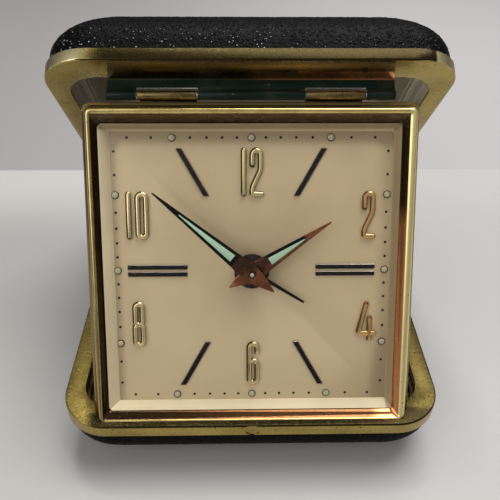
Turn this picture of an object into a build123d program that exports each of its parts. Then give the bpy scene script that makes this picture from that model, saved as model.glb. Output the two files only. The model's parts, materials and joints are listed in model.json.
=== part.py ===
from build123d import *
from math import sin, cos, tan, acos, atan2, hypot, radians, degrees, pi
import os

os.makedirs("parts", exist_ok=True)

# overall sizes, mm
case_width = 80.2
case_depth = 83.3
case_corner = 10.0
shell_depth = 14.2
front_y = -45.73

# fits and gaps
fit_gap = 0.03
slide_gap = 0.05
seat_gap = 0.02

# rims
rim_sheet = 0.6
band_height = 3.1
rim_edge_round = 0.35
side_flat = 4.0
opening_corner = 7.0
base_front_rail = 4.8
lid_front_rail = 6.35
thumb_nick_radius = 1.6
thumb_nick_depth = 0.25

# trays
tray_sheet = 0.5
ledge_depth = 2.26
second_depth = 3.8
tray_depth = 10.6
second_inset = 4.8
floor_inset = 6.2
base_second_front = 5.5
base_floor_front = 6.4
lid_second_front = 7.0
lid_floor_front = 7.6
second_corner_cut = 1.0
floor_corner_cut = 2.0
tray_bottom_round = 1.6
lining_sheet = 0.45
lining_drop = 0.6

# cushions
leather_sheet = 0.5
cushion_shoulder = 4.2
cushion_roll = 11.2
cushion_corner_growth = 2.0
roll_steps = 5

# case hinge
hinge_setback = 1.3
hinge_drop = 2.0
hinge_knuckle_radius = 1.2
hinge_pin_radius = 0.5
hinge_pin_head = 0.25
hinge_width = 50.0
hinge_segments = 5
hinge_sheet = 0.45
hinge_segment_gap = 0.12
hinge_leaf_margin = 0.35

# clock hinge and the strip that carries it
leaf_setback = 6.6
leaf_reach = 3.6
leaf_sheet = 0.44
leaf_foot = 2.1
leaf_width = 55.0
leaf_foot_edge = 0.45
leaf_foot_sheet = 0.25
leaf_barrel_radius = 0.9
clock_pin_radius = 0.4
notch_width = 11.4
notch_middle = 16.05
notch_rise = 1.3
knuckle_gap = 0.15
hinge_margin = 3.26
hinge_ahead_of_dial = 1.59
strap_sheet = 0.45
strap_length = 5.46
strap_bend = 0.95

# bezel, glass and dial
bezel_width = 63.6
bezel_height = 62.2
bezel_rise = 0.6
bezel_front = 3.4
bezel_side_wall = 1.25
bezel_end_wall = 1.0
standing_setback = 2.298
standing_front = 2.556
bezel_slope = 1.0
bezel_slope_depth = 1.25
bezel_bead_round = 0.95
bezel_corner = 1.1
border_slope = 1.42
border_height = 2.15
border_corner = 0.8
crystal_top = 6.1
crystal_bevel = 1.7
crystal_sheet = 0.7
crystal_seat = 3.1
dial_sheet = 0.4
dial_hole_radius = 1.6
track_side_margin = 4.8
track_end_margin = 4.64

# case box behind the bezel
body_side_step = 3.0
body_end_step = 2.7
body_corner = 2.5
body_sheet = 0.5
flange_side_step = 0.7
flange_end_step = 1.1
border_edge = 0.12
rim_relief = 0.03
cover_front = 9.9
cover_sheet = 0.5
cover_lip = 1.4

# dial markings, laid out for this half width and height of the minute track
layout_half_width = 27.0
layout_half_height = 26.46
numeral_height = 9.4
stroke = 0.78
mark_thickness = 0.35
twelve_one_x = -1.55
twelve_two_x = 0.95
twelve_y = 19.7
ten_one_x = -24.25
ten_zero_x = -21.8
upper_row_y = 11.2
two_x = 23.4
lower_row_y = -11.2
eight_x = -23.1
four_x = 23.4
six_x = 0.25
six_y = -19.8
digit_width = 2.5
two_hook_share = 0.22
two_bend_share = 0.05
two_foot_share = 0.34
six_ring_share = 0.6
six_hook_share = 0.1
eight_waist = 0.2
four_y = -10.85
four_height = 8.2
four_width = 4.1
four_bar_share = 0.31
four_top_lean = 0.1
four_stem = 0.85
four_stem_top = 0.5
baton_width = 1.2
baton_top_x = 14.3
baton_foot_x = 8.95
baton_top_y = 24.4
baton_foot_y = 15.0
bar_inner = 12.95
bar_outer = 25.0
bar_height = 1.0
bar_offset = 0.72
stud_radius = 0.62
stud_height = 0.4

# hands
hand_sheet = 0.28
alarm_hand_level = 1.1
alarm_hub_radius = 3.1
alarm_ring_radius = 2.0
alarm_ring_height = 0.5
alarm_hand_share = 0.46863
alarm_hand_width = 0.75
alarm_tip_width = 0.5
hour_hand_level = 2.7
hour_hand_share = 0.70295
hour_hand_tail = 5.3
hour_widest_place = 3.9
hour_lume_share = 0.69892
minute_hand_level = 3.9
minute_hand_share = 0.94482
minute_hand_tail = 5.6
minute_widest_place = 4.6
minute_lume_share = 0.772
hand_half_width = 1.5
hub_half_width = 1.8
hub_front = 1.4
tail_bend = 2.0
tail_half_width = 1.35
hand_tip_half = 0.14
lume_border = 0.42
lume_gap = 0.4
lume_tip_half = 0.1
lume_sheet = 0.12
minute_hand_turn = 309.8
hour_hand_turn = 57.1
alarm_hand_turn = 121.5

# arbors and tubes, centre stack
centre_arbor_radius = 0.5
centre_arbor_front = 5.0
cannon_outer = 0.8
cannon_top = 4.3
hour_tube_outer = 1.15
hour_tube_top = 3.1
alarm_tube_outer = 1.5
alarm_tube_top = 1.4
arbor_radius = 0.4

# motion work levels, measured down from the dial plane
alarm_wheel_top = 0.6
hour_wheel_top = 1.25
minute_wheel_top = 1.95
wheel_sheet = 0.4
motion_pinion_top = 1.2
front_plate_top = 2.8
plate_sheet = 0.8
train_space = 4.0
plate_gap = 0.1
layout_plate = 55.6
plate_corner = 2.4
pillar_radius = 1.3
pillar_side_inset = 3.6
pillar_end_inset = 3.8
screw_head_radius = 1.0
screw_head_height = 0.4
screw_slot_width = 0.3
screw_slot_depth = 0.18

# toothed wheels
motion_module = 0.4
hour_module = 0.32
cannon_teeth = 8
minute_wheel_teeth = 24
minute_pinion_teeth = 8
hour_wheel_teeth = 32
alarm_wheel_teeth = 30
alarm_pinion_teeth = 10
barrel_teeth = 38
centre_pinion_teeth = 8
centre_wheel_teeth = 32
third_pinion_teeth = 8
third_wheel_teeth = 32
fourth_pinion_teeth = 8
fourth_wheel_teeth = 28
escape_pinion_teeth = 7
escape_wheel_teeth = 15
alarm_escape_teeth = 12
train_module = 0.5
fine_module = 0.46
alarm_module = 0.5
tooth_rise_share = 0.72
tooth_fall_share = 0.95
tooth_root_share = 0.24
tooth_tip_share = 0.12

# train places, polar about the dial centre or the wheel before
barrel_direction = 218.0
alarm_barrel_x = 13.0
alarm_barrel_y = -11.0
third_direction = 46.0
fourth_direction = 163.0
escape_direction = 160.0
minute_wheel_direction = 180.0
alarm_arbor_direction = -77.0
balance_x = -18.3
balance_y = 17.8
pallet_x = -15.2
pallet_y = 14.3
alarm_escape_direction = 48.0
hammer_x = 18.6
hammer_y = 5.2
hammer_reach = 11.5
hammer_head_radius = 1.9
hammer_head_height = 2.0
escape_radius = 4.2
ratchet_root_share = 0.74
ratchet_lean_share = 0.3
lever_width = 0.9
pallet_spread = 1.6
pallet_clearance = 0.25

# train levels, measured down from the back of the front plate
centre_wheel_level = 0.2
centre_pinion_level = 0.6
centre_pinion_height = 1.2
barrel_level = 0.8
barrel_height = 3.0
barrel_flange = 0.55
third_wheel_level = 2.3
third_pinion_level = 0.1
pinion_height = 0.7
fourth_wheel_level = 1.2
fourth_pinion_level = 2.1
escape_wheel_level = 3.1
escape_pinion_level = 1.0
pallet_level = 3.1
balance_level = 1.4
balance_radius = 4.0
balance_rim = 0.8
balance_sheet = 0.6
hairspring_level = 0.7
hairspring_turns = 4
hairspring_inner = 0.7
hairspring_pitch = 0.55
hairspring_thickness = 0.14
hairspring_height = 0.35
spiral_steps = 12
mainspring_turns = 4
mainspring_thickness = 0.4
alarm_escape_level = 0.15
alarm_escape_radius = 3.2
hammer_level = 0.15
hammer_sheet = 0.5

# winding keys, knobs and button on the back
key_gap = 0.25
key_wing_width = 9.0
key_wing_height = 4.2
key_thickness = 0.9
key_hub_radius = 1.7
key_hub_height = 0.4
key_round_share = 0.45
winding_radius = 0.9
time_key_turn = 90.0
alarm_key_turn = 90.0
knob_radius = 3.3
knob_height = 1.3
knob_grooves = 16
knob_groove_radius = 0.3
alarm_knob_radius = 2.6
button_x = -17.0
button_y = -21.0
button_radius = 1.8
button_height = 0.6
button_travel = 0.7
button_stem_radius = 0.8
button_stem_reach = 0.3
regulator_arm = 4.2
regulator_width = 1.2
regulator_sheet = 0.35
regulator_hub_radius = 1.5
regulator_pin_radius = 0.45
regulator_pin_proud = 0.6
regulator_swing = 25.0
cover_screw_inset = 2.6
cover_screw_share = 0.675

# sizes that follow from the bezel: glass seat, hinge, box, track and hands
bezel_lip_width = bezel_width - 2 * bezel_side_wall
bezel_lip_height = bezel_height - 2 * bezel_end_wall
hinge_above_dial = bezel_height / 2 + hinge_margin
strap_foot = hinge_above_dial - strap_length
body_width = bezel_width - 2 * body_side_step
body_height = bezel_height - 2 * body_end_step
body_flange_width = body_width + 2 * flange_side_step
body_flange_height = body_height + 2 * flange_end_step
track_half_width = bezel_width / 2 - track_side_margin
track_half_height = bezel_height / 2 - track_end_margin
track_height_share = track_half_height / track_half_width
mark_width_share = track_half_width / layout_half_width
mark_height_share = track_half_height / layout_half_height
twelve_one_x *= mark_width_share
twelve_two_x *= mark_width_share
ten_one_x *= mark_width_share
ten_zero_x *= mark_width_share
two_x *= mark_width_share
eight_x *= mark_width_share
four_x *= mark_width_share
six_x *= mark_width_share
baton_top_x *= mark_width_share
baton_foot_x *= mark_width_share
bar_inner *= mark_width_share
bar_outer *= mark_width_share
digit_width *= mark_width_share
four_width *= mark_width_share
twelve_y *= mark_height_share
upper_row_y *= mark_height_share
lower_row_y *= mark_height_share
four_y *= mark_height_share
six_y *= mark_height_share
baton_top_y *= mark_height_share
baton_foot_y *= mark_height_share
numeral_height *= mark_height_share
four_height *= mark_height_share
hand_reach = min(track_half_width, track_half_height)
alarm_hand_length = alarm_hand_share * hand_reach
hour_hand_length = hour_hand_share * hand_reach
hour_lume_end = hour_lume_share * hour_hand_length
minute_hand_length = minute_hand_share * hand_reach
minute_lume_end = minute_lume_share * minute_hand_length

# the movement keeps to its plates, and the plates to the box
plate_width = body_width - 2 * (body_sheet + plate_gap)
plate_height = body_height - 2 * (body_sheet + plate_gap)
pillar_x = plate_width / 2 - pillar_side_inset
pillar_y = plate_height / 2 - pillar_end_inset
cover_screw_x = body_width / 2 - cover_screw_inset
cover_screw_y = cover_screw_share * pillar_y
movement_share = min(plate_width, plate_height) / layout_plate
motion_module *= movement_share
hour_module *= movement_share
train_module *= movement_share
fine_module *= movement_share
alarm_module *= movement_share
alarm_barrel_x *= movement_share
alarm_barrel_y *= movement_share
balance_x *= movement_share
balance_y *= movement_share
balance_radius *= movement_share
pallet_x *= movement_share
pallet_y *= movement_share
pallet_spread *= movement_share
escape_radius *= movement_share
alarm_escape_radius *= movement_share
hammer_x *= movement_share
hammer_y *= movement_share
hammer_reach *= movement_share
hammer_head_radius *= movement_share
button_x *= movement_share
button_y *= movement_share

rim_height = shell_depth
half_case = case_depth / 2
hinge_y = front_y + case_depth + hinge_setback
hinge_z = rim_height - hinge_drop

# the open case stands as a triangle of lid, clock and base
lid_reach = hypot(case_depth + hinge_setback - leaf_setback, leaf_reach - hinge_drop)
clock_reach = hypot(hinge_above_dial + bezel_height / 2 - bezel_rise, standing_front - hinge_ahead_of_dial)
base_reach = hypot(case_depth + hinge_setback - standing_setback, hinge_drop)
lid_opening = (degrees(acos((lid_reach**2 + base_reach**2 - clock_reach**2) / (2 * lid_reach * base_reach)))
               + degrees(atan2(hinge_drop, case_depth + hinge_setback - standing_setback))
               + degrees(atan2(leaf_reach - hinge_drop, case_depth + hinge_setback - leaf_setback)))
open_angle = radians(lid_opening)
lid_y_dir = (0, cos(open_angle), -sin(open_angle))
lid_out = (0, sin(open_angle), cos(open_angle))
rim_back = -(half_case + hinge_setback)
lid_origin_y = hinge_y + rim_back * cos(open_angle) + hinge_drop * sin(open_angle)
lid_origin_z = hinge_z - rim_back * sin(open_angle) + hinge_drop * cos(open_angle)
base_frame = Plane(origin=(0, front_y + half_case, rim_height), x_dir=(-1, 0, 0), z_dir=(0, 0, -1))
lid_frame = Plane(origin=(0, lid_origin_y, lid_origin_z), x_dir=(1, 0, 0), z_dir=lid_out)

# the clock hangs from the free edge of the strip on the lid
along = leaf_setback - half_case
clock_hinge_y = lid_origin_y + along * lid_y_dir[1] - leaf_reach * lid_out[1]
clock_hinge_z = lid_origin_z + along * lid_y_dir[2] - leaf_reach * lid_out[2]
dial_lean = (degrees(atan2(clock_hinge_y - front_y - standing_setback, clock_hinge_z - rim_height))
             - degrees(atan2(standing_front - hinge_ahead_of_dial, hinge_above_dial + bezel_height / 2 - bezel_rise)))
lean = radians(dial_lean)
dial_y = clock_hinge_y - hinge_above_dial * sin(lean) + hinge_ahead_of_dial * cos(lean)
dial_z = clock_hinge_z - hinge_above_dial * cos(lean) - hinge_ahead_of_dial * sin(lean)
dial_frame = Plane(origin=(0, dial_y, dial_z), x_dir=(1, 0, 0), z_dir=(0, -cos(lean), sin(lean)))
print("case hinge", (0, hinge_y, hinge_z), "clock hinge", (0, clock_hinge_y, clock_hinge_z))
print("dial centre", (0, dial_y, dial_z))
print("lid opening", lid_opening, "dial lean", dial_lean)


def placed(frame, piece):
    return frame.location * piece


def block(width, height, corner, bottom, top, middle=0):
    with BuildPart() as made:
        with BuildSketch(Plane.XY.offset(bottom)):
            with Locations((0, middle)):
                RectangleRounded(width, height, corner)
        extrude(amount=top - bottom)
    return made.part


def rod(radius, bottom, top, x=0, y=0):
    with BuildPart() as made:
        with BuildSketch(Plane.XY.offset(bottom)):
            with Locations((x, y)):
                Circle(radius)
        extrude(amount=top - bottom)
    return made.part


def tube(outer, inner, bottom, top, x=0, y=0):
    with BuildPart() as made:
        with BuildSketch(Plane.XY.offset(bottom)):
            with Locations((x, y)):
                Circle(outer)
                Circle(inner, mode=Mode.SUBTRACT)
        extrude(amount=top - bottom)
    return made.part


def pocket(side, front, corner, bottom, top):
    length = case_depth - side - front
    middle = (front - side) / 2
    return block(case_width - 2 * side, length, corner, bottom, top, middle)


def rim(front_rail, corner):
    with BuildPart() as made:
        add(block(case_width, case_depth, case_corner, 0, band_height))
        outer_edges = made.faces().sort_by(Axis.Z)[0].edges()
        fillet(outer_edges, radius=rim_edge_round)
        add(block(case_width - 2 * rim_sheet, case_depth - 2 * rim_sheet, case_corner - rim_sheet,
                  rim_sheet, band_height), mode=Mode.SUBTRACT)
        add(pocket(side_flat, front_rail, corner, 0, band_height), mode=Mode.SUBTRACT)
    return made.part


def tray(front_rail, second_front, floor_front, corner):
    flange_top = rim_sheet + seat_gap
    second_corner = corner - second_corner_cut
    with BuildPart() as made:
        edge = rim_sheet + slide_gap
        add(block(case_width - 2 * edge, case_depth - 2 * edge, case_corner - rim_sheet,
                  flange_top, flange_top + tray_sheet))
        add(tray_outside(front_rail, second_front, floor_front, corner, flange_top, tray_sheet))
        add(pocket(side_flat, front_rail, corner, flange_top, ledge_depth), mode=Mode.SUBTRACT)
        add(pocket(second_inset, second_front, second_corner, ledge_depth, second_depth),
            mode=Mode.SUBTRACT)
        add(tray_inside(floor_front, 0, corner), mode=Mode.SUBTRACT)
    return made.part


def tray_outside(front_rail, second_front, floor_front, corner, start, grow):
    second_corner = corner - second_corner_cut
    floor_corner = corner - floor_corner_cut
    with BuildPart() as made:
        add(pocket(floor_inset - grow, floor_front - grow, floor_corner + grow,
                   ledge_depth, tray_depth + grow))
        bottom = made.faces().sort_by(Axis.Z)[-1].edges()
        fillet(bottom, radius=tray_bottom_round)
        add(pocket(side_flat - grow, front_rail - grow, corner + grow, start, ledge_depth + grow))
        add(pocket(second_inset - grow, second_front - grow, second_corner + grow,
                   ledge_depth, second_depth + grow))
    return made.part


def tray_inside(floor_front, shrink, corner):
    floor_corner = corner - floor_corner_cut
    with BuildPart() as made:
        add(pocket(floor_inset + shrink, floor_front + shrink, floor_corner - shrink,
                   second_depth, tray_depth - shrink))
        bottom = made.faces().sort_by(Axis.Z)[-1].edges()
        fillet(bottom, radius=tray_bottom_round - tray_sheet)
    return made.part


def lining(floor_front, corner):
    with BuildPart() as made:
        add(tray_inside(floor_front, seat_gap, corner))
        add(tray_inside(floor_front, lining_sheet, corner), mode=Mode.SUBTRACT)
        add(pocket(0, 0, case_corner, 0, second_depth + lining_drop), mode=Mode.SUBTRACT)
    return made.part


def cushion_form(shrink):
    start = rim_sheet + slide_gap + shrink
    top = rim_sheet + tray_sheet + 2 * seat_gap
    rise = shell_depth - cushion_shoulder - shrink
    with BuildPart() as made:
        add(block(case_width - 2 * start, case_depth - 2 * start, case_corner - start,
                  top, cushion_shoulder))
        for step in range(roll_steps):
            turn = radians(90 * step / (roll_steps - 1))
            inset = start + cushion_roll * (1 - cos(turn))
            corner = case_corner - start + cushion_corner_growth * (1 - cos(turn))
            with BuildSketch(Plane.XY.offset(cushion_shoulder + rise * sin(turn))):
                RectangleRounded(case_width - 2 * inset, case_depth - 2 * inset, corner)
        loft()
    return made.part


def hinge_part(first, leaf_end):
    # one side of the case hinge, lid closed, pin along X through the origin
    step = hinge_width / hinge_segments
    wall = seat_gap - hinge_setback
    with BuildPart() as made:
        for index in range(first, hinge_segments, 2):
            left = index * step + hinge_segment_gap / 2 - hinge_width / 2
            with BuildSketch(Plane.YZ.offset(left)):
                Circle(hinge_knuckle_radius)
                with BuildLine():
                    Polyline((wall, 0), (wall + hinge_sheet, 0), (wall + hinge_sheet, leaf_end),
                             (wall, leaf_end), close=True)
                make_face()
                Circle(hinge_pin_radius + fit_gap, mode=Mode.SUBTRACT)
            extrude(amount=step - hinge_segment_gap)
    return made.part


# lower shell
with BuildPart() as base_rim:
    add(placed(base_frame, rim(base_front_rail, opening_corner)))
    with Locations((0, front_y, rim_height - band_height / 2)):
        Cylinder(thumb_nick_radius, 2 * thumb_nick_depth, rotation=(90, 0, 0), mode=Mode.SUBTRACT)
base_rim.part.label = "base_rim"
export_step(base_rim.part, "parts/base_rim.step")

with BuildPart() as base_tray:
    add(placed(base_frame, tray(base_front_rail, base_second_front, base_floor_front,
                                opening_corner)))
base_tray.part.label = "base_tray"
export_step(base_tray.part, "parts/base_tray.step")

with BuildPart() as base_lining:
    add(placed(base_frame, lining(base_floor_front, opening_corner)))
base_lining.part.label = "base_lining"
export_step(base_lining.part, "parts/base_lining.step")

with BuildPart() as base_leather:
    add(placed(base_frame, cushion_form(0)))
    add(placed(base_frame, cushion_form(leather_sheet)), mode=Mode.SUBTRACT)
base_leather.part.label = "base_leather"
export_step(base_leather.part, "parts/base_leather.step")

with BuildPart() as base_padding:
    add(placed(base_frame, cushion_form(leather_sheet + seat_gap)))
    hollow = tray_outside(base_front_rail, base_second_front, base_floor_front, opening_corner,
                          0, tray_sheet + seat_gap)
    add(placed(base_frame, hollow), mode=Mode.SUBTRACT)
base_padding.part.label = "base_padding"
export_step(base_padding.part, "parts/base_padding.step")

# upper shell
with BuildPart() as lid_rim:
    add(placed(lid_frame, rim(lid_front_rail, opening_corner)))
lid_rim.part.label = "lid_rim"
export_step(lid_rim.part, "parts/lid_rim.step")

with BuildPart() as lid_tray:
    add(placed(lid_frame, tray(lid_front_rail, lid_second_front, lid_floor_front,
                               opening_corner)))
lid_tray.part.label = "lid_tray"
export_step(lid_tray.part, "parts/lid_tray.step")

with BuildPart() as lid_lining:
    add(placed(lid_frame, lining(lid_floor_front, opening_corner)))
lid_lining.part.label = "lid_lining"
export_step(lid_lining.part, "parts/lid_lining.step")

with BuildPart() as lid_leather:
    add(placed(lid_frame, cushion_form(0)))
    add(placed(lid_frame, cushion_form(leather_sheet)), mode=Mode.SUBTRACT)
lid_leather.part.label = "lid_leather"
export_step(lid_leather.part, "parts/lid_leather.step")

with BuildPart() as lid_padding:
    add(placed(lid_frame, cushion_form(leather_sheet + seat_gap)))
    hollow = tray_outside(lid_front_rail, lid_second_front, lid_floor_front, opening_corner,
                          0, tray_sheet + seat_gap)
    add(placed(lid_frame, hollow), mode=Mode.SUBTRACT)
lid_padding.part.label = "lid_padding"
export_step(lid_padding.part, "parts/lid_padding.step")

# case hinge
hinge_place = Location((0, hinge_y, hinge_z))
lid_hinge_place = Location((0, hinge_y, hinge_z), (-lid_opening, 0, 0))
with BuildPart() as base_hinge_leaf:
    add(hinge_place * hinge_part(0, hinge_drop - hinge_leaf_margin))
base_hinge_leaf.part.label = "base_hinge_leaf"
export_step(base_hinge_leaf.part, "parts/base_hinge_leaf.step")

with BuildPart() as lid_hinge_leaf:
    add(lid_hinge_place * hinge_part(1, hinge_drop + band_height - hinge_leaf_margin))
lid_hinge_leaf.part.label = "lid_hinge_leaf"
export_step(lid_hinge_leaf.part, "parts/lid_hinge_leaf.step")

with BuildPart() as case_hinge_pin:
    with BuildSketch(Plane.YZ.offset(-hinge_width / 2 - hinge_pin_head)):
        with Locations((hinge_y, hinge_z)):
            Circle(hinge_pin_radius)
    extrude(amount=hinge_width + 2 * hinge_pin_head)
case_hinge_pin.part.label = "case_hinge_pin"
export_step(case_hinge_pin.part, "parts/case_hinge_pin.step")


# strip that stands on the lid and carries the clock
def clock_leaf_form():
    middle = leaf_setback - half_case
    with BuildPart() as made:
        with BuildSketch(Plane.YZ.offset(-leaf_width / 2)):
            with BuildLine():
                Polyline((middle - leaf_sheet / 2, leaf_foot), (middle + leaf_sheet / 2, leaf_foot),
                         (middle + leaf_sheet / 2, -leaf_reach), (middle - leaf_sheet / 2, -leaf_reach),
                         close=True)
            make_face()
            with BuildLine():
                Polyline((leaf_foot_edge - half_case, -seat_gap), (middle, -seat_gap),
                         (middle, -seat_gap - leaf_foot_sheet),
                         (leaf_foot_edge - half_case, -seat_gap - leaf_foot_sheet), close=True)
            make_face()
            with Locations((middle, -leaf_reach)):
                Circle(leaf_barrel_radius)
                Circle(clock_pin_radius + fit_gap, mode=Mode.SUBTRACT)
        extrude(amount=leaf_width)
        for side in (-1, 1):
            with Locations((side * notch_middle, middle, -leaf_reach)):
                Box(notch_width, 2 * leaf_barrel_radius + notch_rise, 2 * notch_rise, mode=Mode.SUBTRACT)
    return made.part


with BuildPart() as clock_leaf:
    add(placed(lid_frame, clock_leaf_form()))
clock_leaf.part.label = "clock_leaf"
export_step(clock_leaf.part, "parts/clock_leaf.step")

with BuildPart() as clock_hinge_pin:
    with BuildSketch(Plane.YZ.offset(-leaf_width / 2)):
        with Locations((clock_hinge_y, clock_hinge_z)):
            Circle(clock_pin_radius)
    extrude(amount=leaf_width)
clock_hinge_pin.part.label = "clock_hinge_pin"
export_step(clock_hinge_pin.part, "parts/clock_hinge_pin.step")

flange_back = -(seat_gap + body_sheet)


def knuckle_form():
    back = flange_back - seat_gap - strap_sheet
    front = flange_back - seat_gap
    bend = hinge_above_dial - strap_bend
    barrel_back = hinge_ahead_of_dial - leaf_barrel_radius
    with BuildPart() as made:
        for side in (-1, 1):
            left = side * notch_middle - notch_width / 2 + knuckle_gap
            with BuildSketch(Plane.YZ.offset(left)):
                with BuildLine():
                    Polyline((strap_foot, back), (bend, back), (hinge_above_dial, barrel_back),
                             (hinge_above_dial, hinge_ahead_of_dial), (bend, front), (strap_foot, front),
                             close=True)
                make_face()
                with Locations((hinge_above_dial, hinge_ahead_of_dial)):
                    Circle(leaf_barrel_radius)
                    Circle(clock_pin_radius + fit_gap, mode=Mode.SUBTRACT)
            extrude(amount=notch_width - 2 * knuckle_gap)
    return made.part


with BuildPart() as clock_knuckles:
    add(placed(dial_frame, knuckle_form()))
clock_knuckles.part.label = "clock_knuckles"
export_step(clock_knuckles.part, "parts/clock_knuckles.step")


# case box, bezel, border and glass
def standing_clearance():
    # the bezel stands with a flat on the lower rim
    return placed(base_frame, block(case_width, case_depth, case_corner, -rim_relief, tray_depth))


def rim_clearance():
    # everything that would dip into the face of the lower rim
    inset = opening_corner - rim_relief
    with BuildPart() as made:
        add(block(case_width, case_depth, case_corner, -rim_relief, tray_depth))
        add(pocket(side_flat + rim_relief, base_front_rail + rim_relief, inset, -rim_relief, tray_depth),
            mode=Mode.SUBTRACT)
    return placed(base_frame, made.part)


def bezel_form():
    inner_width = bezel_lip_width - 2 * bezel_slope
    inner_height = bezel_lip_height - 2 * bezel_slope
    with BuildPart() as made:
        add(block(bezel_width, bezel_height, bezel_corner, 0, bezel_front, bezel_rise))
        fillet(made.faces().sort_by(Axis.Z)[-1].edges(), radius=bezel_bead_round)
        add(block(inner_width, inner_height, border_corner, 0, bezel_front), mode=Mode.SUBTRACT)
        with BuildSketch(Plane.XY.offset(bezel_front - bezel_slope_depth)):
            RectangleRounded(inner_width, inner_height, border_corner)
        with BuildSketch(Plane.XY.offset(bezel_front)):
            RectangleRounded(bezel_lip_width, bezel_lip_height, border_corner)
        loft(mode=Mode.SUBTRACT)
    return made.part


with BuildPart() as bezel:
    add(placed(dial_frame, bezel_form()))
    add(standing_clearance(), mode=Mode.SUBTRACT)
bezel.part.label = "bezel"
export_step(bezel.part, "parts/bezel.step")

border_width = bezel_lip_width - 2 * bezel_slope - 2 * slide_gap
border_outer_height = bezel_lip_height - 2 * bezel_slope - 2 * slide_gap


def border_form():
    with BuildPart() as made:
        add(block(border_width, border_outer_height, border_corner, seat_gap, border_height))
        with BuildSketch(Plane.XY):
            Rectangle(border_width - 2 * border_slope, border_outer_height - 2 * border_slope)
        with BuildSketch(Plane.XY.offset(border_height)):
            Rectangle(border_width - border_edge, border_outer_height - border_edge)
        loft(mode=Mode.SUBTRACT)
    return made.part


with BuildPart() as dial_border:
    add(placed(dial_frame, border_form()))
    add(standing_clearance(), mode=Mode.SUBTRACT)
dial_border.part.label = "dial_border"
export_step(dial_border.part, "parts/dial_border.step")


def crystal_shell(shrink, drop):
    edge_width = bezel_lip_width - 2 * slide_gap - 2 * shrink
    edge_height = bezel_lip_height - 2 * slide_gap - 2 * shrink
    with BuildPart() as made:
        with BuildSketch(Plane.XY.offset(bezel_front)):
            RectangleRounded(edge_width, edge_height, border_corner)
        with BuildSketch(Plane.XY.offset(crystal_top - drop)):
            RectangleRounded(edge_width - 2 * crystal_bevel, edge_height - 2 * crystal_bevel, border_corner)
        loft()
        with BuildSketch(Plane.XY.offset(crystal_seat)):
            foot = bezel_slope * (bezel_front - crystal_seat) / bezel_slope_depth
            RectangleRounded(edge_width - 2 * foot, edge_height - 2 * foot, border_corner)
        with BuildSketch(Plane.XY.offset(bezel_front)):
            RectangleRounded(edge_width, edge_height, border_corner)
        loft()
    return made.part


with BuildPart() as crystal:
    add(placed(dial_frame, crystal_shell(0, 0)))
    add(placed(dial_frame, crystal_shell(crystal_sheet, crystal_sheet)), mode=Mode.SUBTRACT)
crystal.part.label = "crystal"
export_step(crystal.part, "parts/crystal.step")


def body_form():
    inner_width = body_width - 2 * body_sheet
    inner_height = body_height - 2 * body_sheet
    with BuildPart() as made:
        add(block(body_flange_width, body_flange_height, bezel_corner, flange_back, -seat_gap))
        add(dial_frame.location.inverse() * standing_clearance(), mode=Mode.SUBTRACT)
        add(block(body_width, body_height, body_corner, seat_gap - cover_front, flange_back))
        add(block(inner_width, inner_height, body_corner - body_sheet, seat_gap - cover_front, -seat_gap),
            mode=Mode.SUBTRACT)
    return made.part


with BuildPart() as clock_body:
    add(placed(dial_frame, body_form()))
    add(rim_clearance(), mode=Mode.SUBTRACT)
clock_body.part.label = "clock_body"
export_step(clock_body.part, "parts/clock_body.step")

with BuildPart() as dial_plate:
    dial_width = body_width - 2 * body_sheet - 2 * slide_gap
    dial_height = body_height - 2 * body_sheet - 2 * slide_gap
    add(placed(dial_frame, block(dial_width, dial_height, body_corner - body_sheet, -dial_sheet, 0)))
    add(placed(dial_frame, rod(dial_hole_radius, -dial_sheet, 0)), mode=Mode.SUBTRACT)
dial_plate.part.label = "dial_plate"
export_step(dial_plate.part, "parts/dial_plate.step")


# hour marks on the dial
def ring_digit(x, y, width, height):
    with BuildSketch() as made:
        with Locations((x, y)):
            SlotOverall(height, width, rotation=90)
            SlotOverall(height - 2 * stroke, width - 2 * stroke, rotation=90, mode=Mode.SUBTRACT)
    return made.sketch


def bent_stroke(*points):
    # a wire of even width laid through the points, with its ends cut square
    with BuildSketch() as made:
        for start, end in zip(points[:-1], points[1:]):
            length = hypot(end[0] - start[0], end[1] - start[1])
            turn = degrees(atan2(end[1] - start[1], end[0] - start[0]))
            with Locations(Location(((start[0] + end[0]) / 2, (start[1] + end[1]) / 2, 0), (0, 0, turn))):
                Rectangle(length, stroke)
        for point in points[1:-1]:
            with Locations(point):
                Circle(stroke / 2)
    return made.sketch


def arch(x, y, turn_radius, start, sweep):
    with BuildSketch() as made:
        with Locations((x, y)):
            Circle(turn_radius + stroke / 2)
            Circle(turn_radius - stroke / 2, mode=Mode.SUBTRACT)
        reach = 2 * turn_radius
        with BuildLine():
            steps = 4
            fan = [(x + reach * cos(radians(start + sweep * step / steps)),
                    y + reach * sin(radians(start + sweep * step / steps))) for step in range(steps + 1)]
            Polyline((x, y), *fan, close=True)
        make_face(mode=Mode.INTERSECT)
    return made.sketch


def digit_one(x, y):
    half = numeral_height / 2
    return bent_stroke((x, y - half), (x, y + half))


def digit_two(x, y):
    half = (numeral_height - stroke) / 2
    side = (digit_width - stroke) / 2
    bow = y + half - side
    foot = (x + side + stroke / 2, y - half)
    with BuildSketch() as made:
        add(arch(x, bow, side, 0, 180))
        add(bent_stroke((x - side, bow), (x - side, bow - two_hook_share * numeral_height)))
        add(bent_stroke((x + side, bow), (x + side, y + two_bend_share * numeral_height),
                        (x - side, y - two_foot_share * numeral_height), (x - side, y - half), foot))
    return made.sketch


def digit_six(x, y):
    half = (numeral_height - stroke) / 2
    side = (digit_width - stroke) / 2
    ring_height = six_ring_share * numeral_height
    bow = y + half - side
    with BuildSketch() as made:
        add(ring_digit(x, y - (numeral_height - ring_height) / 2, digit_width, ring_height))
        add(bent_stroke((x - side, y - half + side), (x - side, bow)))
        add(arch(x, bow, side, 0, 180))
        add(bent_stroke((x + side, bow), (x + side, bow - six_hook_share * numeral_height)))
    return made.sketch


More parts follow.
